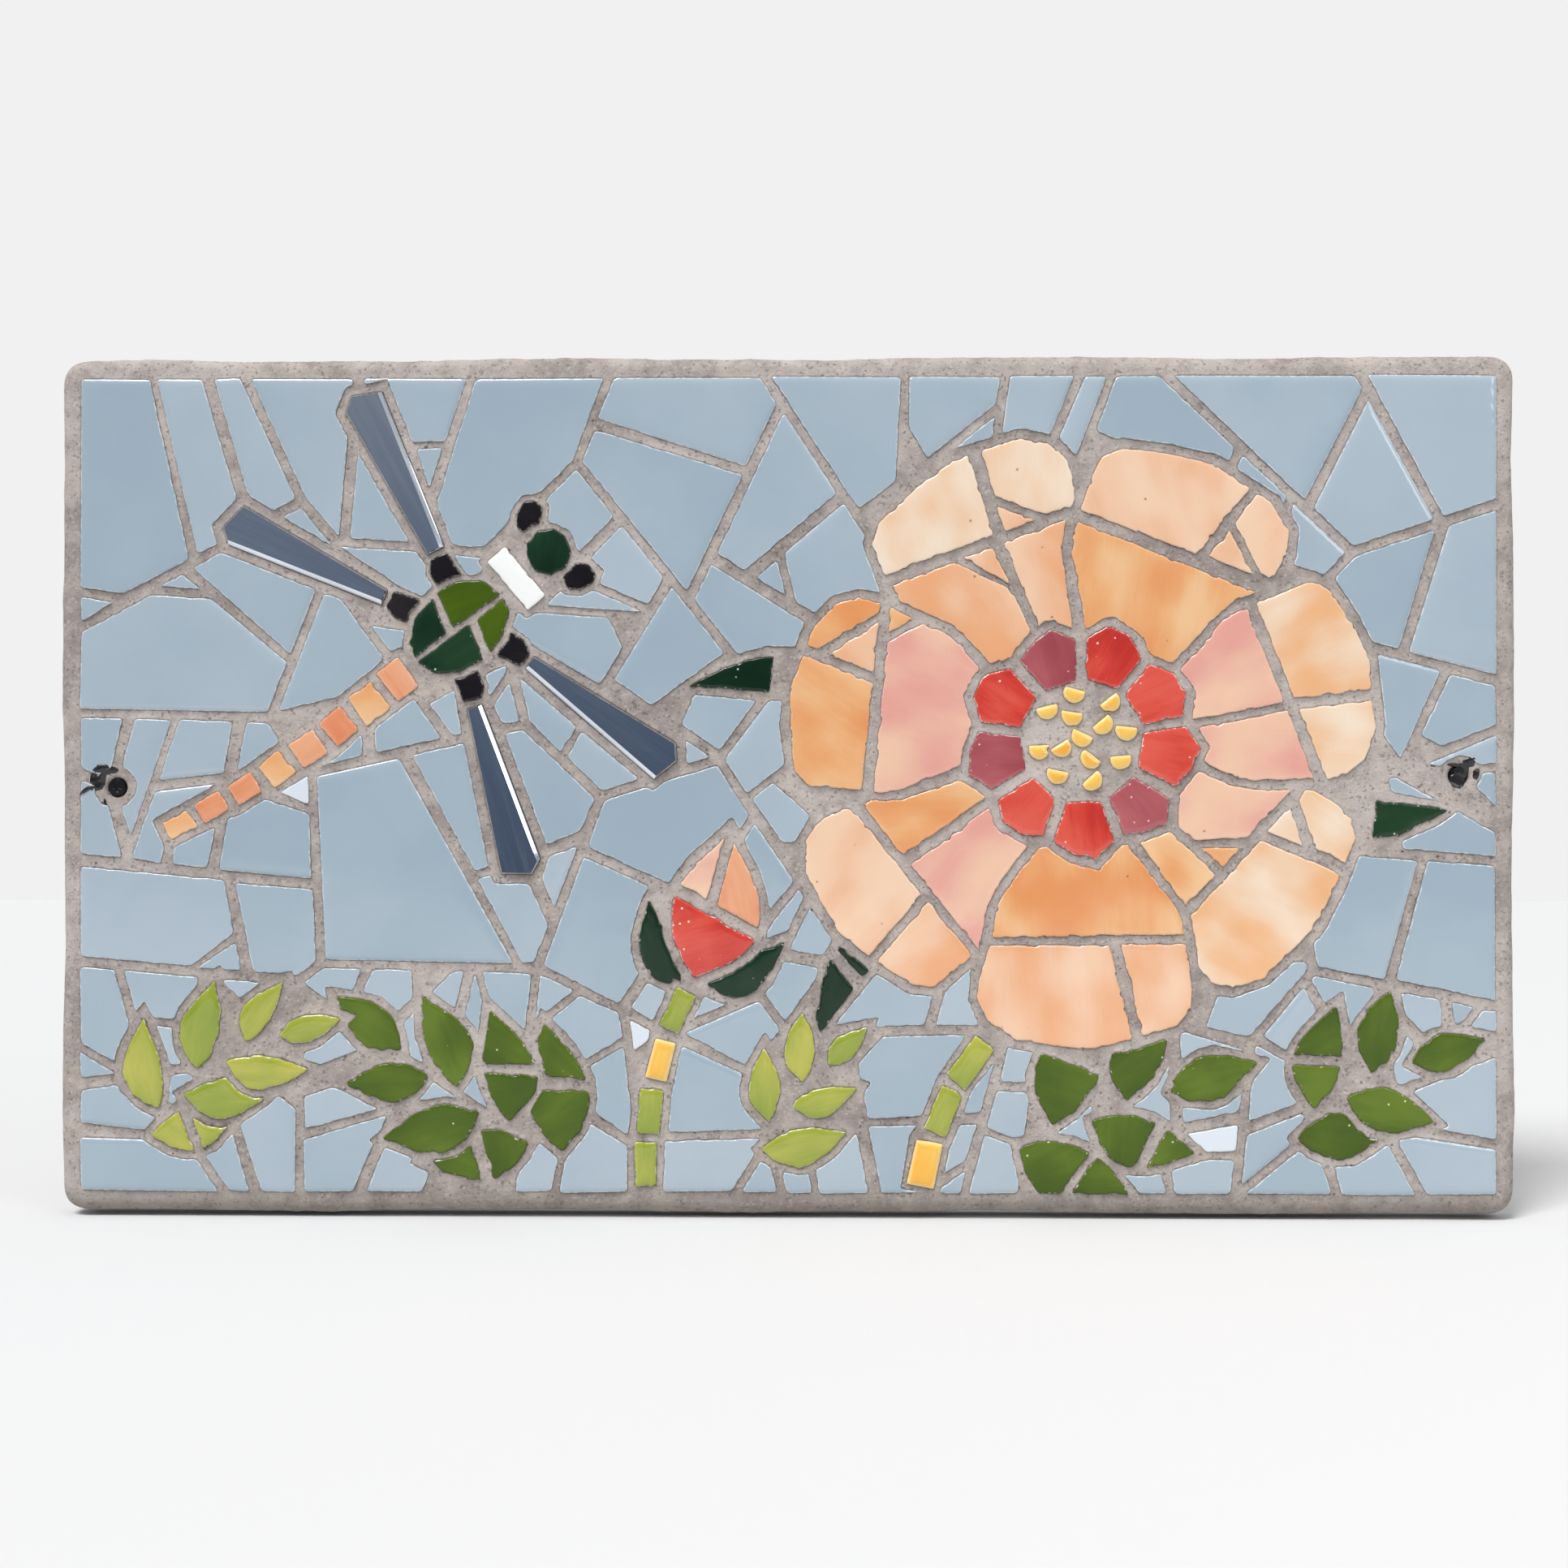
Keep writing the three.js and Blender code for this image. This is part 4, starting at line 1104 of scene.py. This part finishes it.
def mortar():
    """Sanded grey-beige mortar: patchy and stained, with dirt and painted shade in the crease where it meets
    the tiles, and patchy painted shade along the bottom edge.
    """
    s = Shading("sanded_mortar")
    place = s.place()
    patches = s.noise(place, 14.0, 5.0, 0.6)
    blotches = s.noise(place, 110.0, 5.0, 0.65)
    colour = s.ramp(s.between(s.plus(s.times(patches, 0.5), s.times(blotches, 0.5)), 0.34, 0.66), [
        (0.0, (0.3, 0.255, 0.235)), (0.5, (0.43, 0.375, 0.35)), (1.0, (0.56, 0.5, 0.47)),
    ])
    stains = s.between(s.noise(place, 55.0, 4.0, 0.6), 0.5, 0.68, 0.0, 0.35)
    colour = s.mix(stains, colour, (0.46, 0.385, 0.3))
    grains = s.cells(place, 950.0, "Color")
    colour = s.mix(s.times(s.between(grains, 0.72, 0.9), 0.4), colour, (0.6, 0.56, 0.5))
    colour = s.mix(s.times(s.between(grains, 0.26, 0.1), 0.5), colour, (0.12, 0.1, 0.09))
    # Dirt and painted shade: a thin darker line in the crease where the grout meets the tiles.
    colour = s.mix(s.between(s.trait("gap"), 0.6, -0.1, 0.0, 0.18), colour, (0.16, 0.13, 0.115))
    # Painted shade: the mortar is darkened in patches along the bottom edge, where its rounded underside faces
    # away from the light.
    height = s.node("ShaderNodeSeparateXYZ", None, {"Vector": place}).outputs["Z"]
    low = s.between(height, LOW.z + 0.016, LOW.z + 0.003, 0.0, 0.5)
    painted_bottom_shade = s.times(low, s.between(patches, 0.3, 0.6, 0.6, 1.0))
    colour = s.mix(painted_bottom_shade, colour, (0.17, 0.15, 0.125))
    pits = s.dots(place, 210.0, 0.28, 0.17, 0.05, soft=0.04)
    colour = s.mix(s.times(pits, 0.7), colour, (0.1, 0.085, 0.075))
    coarse = s.minus(s.noise(place, 420.0, 5.0, 0.7), s.times(pits, 0.9))
    normal = s.bump(coarse, 0.0011, 0.75)
    normal = s.bump(s.cells(place, 1150.0), 0.0003, 0.55, normal)
    return s.finish(colour, 0.92, normal, Specular_IOR_Level=0.25)


def silvered_glass():
    """Mirror: a clean silvered face with faint wiping marks, and dark painted edges."""
    s = Shading("silvered_glass")
    marks = s.noise(s.trait("grain", "Vector"), 0.25, 4.0, 0.6, (0.08, 1.0, 1.0))
    colour = s.ramp(s.between(marks, 0.35, 0.7), [(0.0, (0.68, 0.73, 0.8)), (1.0, (0.8, 0.84, 0.89))])
    colour = s.mix(s.trait("side"), colour, (0.02, 0.02, 0.025))
    return s.finish(colour, s.between(marks, 0.4, 0.75, 0.03, 0.08), Metallic=1.0)


def blacked_steel():
    """The screws: blacked steel, rubbed a little brighter in patches."""
    s = Shading("blacked_steel")
    place = s.place()
    rubbed = s.between(s.noise(place, 900.0, 4.0, 0.6), 0.5, 0.75)
    colour = s.mix(rubbed, (0.008, 0.008, 0.01), (0.035, 0.034, 0.036))
    roughness = s.between(s.noise(place, 600.0), 0.35, 0.7, 0.28, 0.5)
    return s.finish(colour, roughness, s.bump(s.noise(place, 1500.0), 0.00008, 0.5), Metallic=0.6)


def sealant():
    """Glossy black sealant."""
    s = Shading("black_sealant")
    place = s.place()
    colour = s.mix(s.between(s.noise(place, 500.0), 0.4, 0.7), (0.006, 0.005, 0.005), (0.016, 0.013, 0.013))
    return s.finish(colour, 0.22, s.bump(s.noise(place, 700.0, 4.0), 0.0003, 0.6), Coat_Weight=0.4)


def make_materials():
    """Every material, by its tile stock or by what it is for."""
    made = {stock: glaze(f"{stock}_glaze", **looks) for stock, looks in GLAZES.items()}
    made.update(sky=sky_glaze(), mirror=silvered_glass(), mortar=mortar())
    made.update(screw=blacked_steel(), sealant=sealant())
    return made


# ---- Camera, light and floor, in metres ----

CAMERA = {"lens": 50, "away": 0.906, "right": 0.016, "aim_up": 0.0005}
SURROUND = 0.88  # the brightness of the plain pale surround
BEHIND = (0.5, 0.505, 0.51)  # what glazes and mirrors reflect of the room behind the plaque
# What they reflect of the room before it: a colour for each height, from straight down to straight up.
ROOM = [
    (0.0, (0.04, 0.05, 0.08)), (0.44, (0.055, 0.075, 0.12)), (0.5, (0.09, 0.115, 0.165)),
    (0.56, (0.16, 0.19, 0.245)), (0.64, (0.31, 0.33, 0.36)), (0.73, (0.54, 0.55, 0.57)),
    (1.0, (0.76, 0.76, 0.76)),
]
FLOOR = {"size": 5.0, "gap": 0.0012, "colour": (0.73, 0.73, 0.73)}
SUN = {"left": 32, "up": 57, "spread": 22, "strength": 2.48}  # angles in degrees
WINDOW = {"place": (0.95, -1.2, 0.7), "size": (0.36, 0.62), "power": 2.8}


def added(name, data):
    """A new object in the scene."""
    made = bpy.data.objects.new(name, data)
    bpy.context.scene.collection.objects.link(made)
    return made


def set_camera():
    """At the photograph's viewing angle: almost square on to the plaque, from a little to the right."""
    middle = (LOW + HIGH) / 2
    data = bpy.data.cameras.new("camera")
    data.lens = CAMERA["lens"]
    camera = added("camera", data)
    camera.location = (middle.x + CAMERA["right"], LOW.y - CAMERA["away"], middle.z)
    aim = Vector((middle.x, LOW.y, middle.z + CAMERA["aim_up"])) - camera.location
    camera.rotation_euler = aim.to_track_quat("-Z", "Y").to_euler()
    bpy.context.scene.camera = camera


def set_surround():
    """A plain pale surround; the plaque is lit by a room instead, and reflects it."""
    bpy.context.scene.view_settings.view_transform = "Standard"
    world = bpy.data.worlds.new("surround")
    bpy.context.scene.world = world
    world.use_nodes = True
    world.node_tree.nodes.clear()
    w = Tree(world.node_tree)
    direction = w.node("ShaderNodeTexCoord").outputs["Generated"]
    split = w.node("ShaderNodeSeparateXYZ", None, {"Vector": direction})
    height = w.node("ShaderNodeMapRange", None, {"Value": split.outputs["Z"], "From Min": -1.0})
    turned = {"Value": split.outputs["Y"], "From Min": -0.1, "From Max": 0.35}
    is_behind = w.node("ShaderNodeMapRange", None, turned)
    before = w.node("ShaderNodeBackground", None, {"Color": w.ramp(height.outputs[0], ROOM)})
    behind = w.node("ShaderNodeBackground", None, {"Color": BEHIND})
    sides = {0: is_behind.outputs[0], 1: before.outputs[0], 2: behind.outputs[0]}
    around = w.node("ShaderNodeMixShader", None, sides)
    plain = w.node("ShaderNodeBackground", None, {"Color": (SURROUND, SURROUND, SURROUND)})
    seen = w.node("ShaderNodeLightPath").outputs["Is Camera Ray"]
    shown = w.node("ShaderNodeMixShader", None, {0: seen, 1: around.outputs[0], 2: plain.outputs[0]})
    w.node("ShaderNodeOutputWorld", None, {"Surface": shown.outputs[0]})


def set_floor():
    """A plain pale floor just below the plaque."""
    bpy.ops.mesh.primitive_plane_add(size=FLOOR["size"], location=(0, 0, LOW.z - FLOOR["gap"]))
    floor = bpy.context.object
    floor.name = "floor"
    paint = Shading("pale_floor").finish(FLOOR["colour"], 0.95, Specular_IOR_Level=0.0)
    floor.data.materials.append(paint)


def add_lights():
    """Soft light from the upper left, and a narrow window to the right that glints in polished edges."""
    sun = bpy.data.lights.new("key_light", "SUN")
    sun.energy = SUN["strength"]
    sun.angle = math.radians(SUN["spread"])
    left, up = math.radians(SUN["left"]), math.radians(SUN["up"])
    towards = Vector((-math.sin(left) * math.cos(up), -math.cos(left) * math.cos(up), math.sin(up)))
    added("key_light", sun).rotation_euler = towards.to_track_quat("Z", "Y").to_euler()
    window = bpy.data.lights.new("window_light", "AREA")
    window.shape = "RECTANGLE"
    window.size, window.size_y = WINDOW["size"]
    window.energy = WINDOW["power"]
    pane = added("window_light", window)
    pane.location = WINDOW["place"]
    pane.rotation_euler = pane.location.to_track_quat("Z", "Y").to_euler()


# ---- The scene ----

set_camera()
set_surround()
set_floor()
add_lights()
materials = make_materials()
rims = lay_tiles(read_tiles(), materials)
slab = make_slab(rims, materials)
for node in screw_places():
    screw_head(node, materials)
    smear(node, slab, materials)
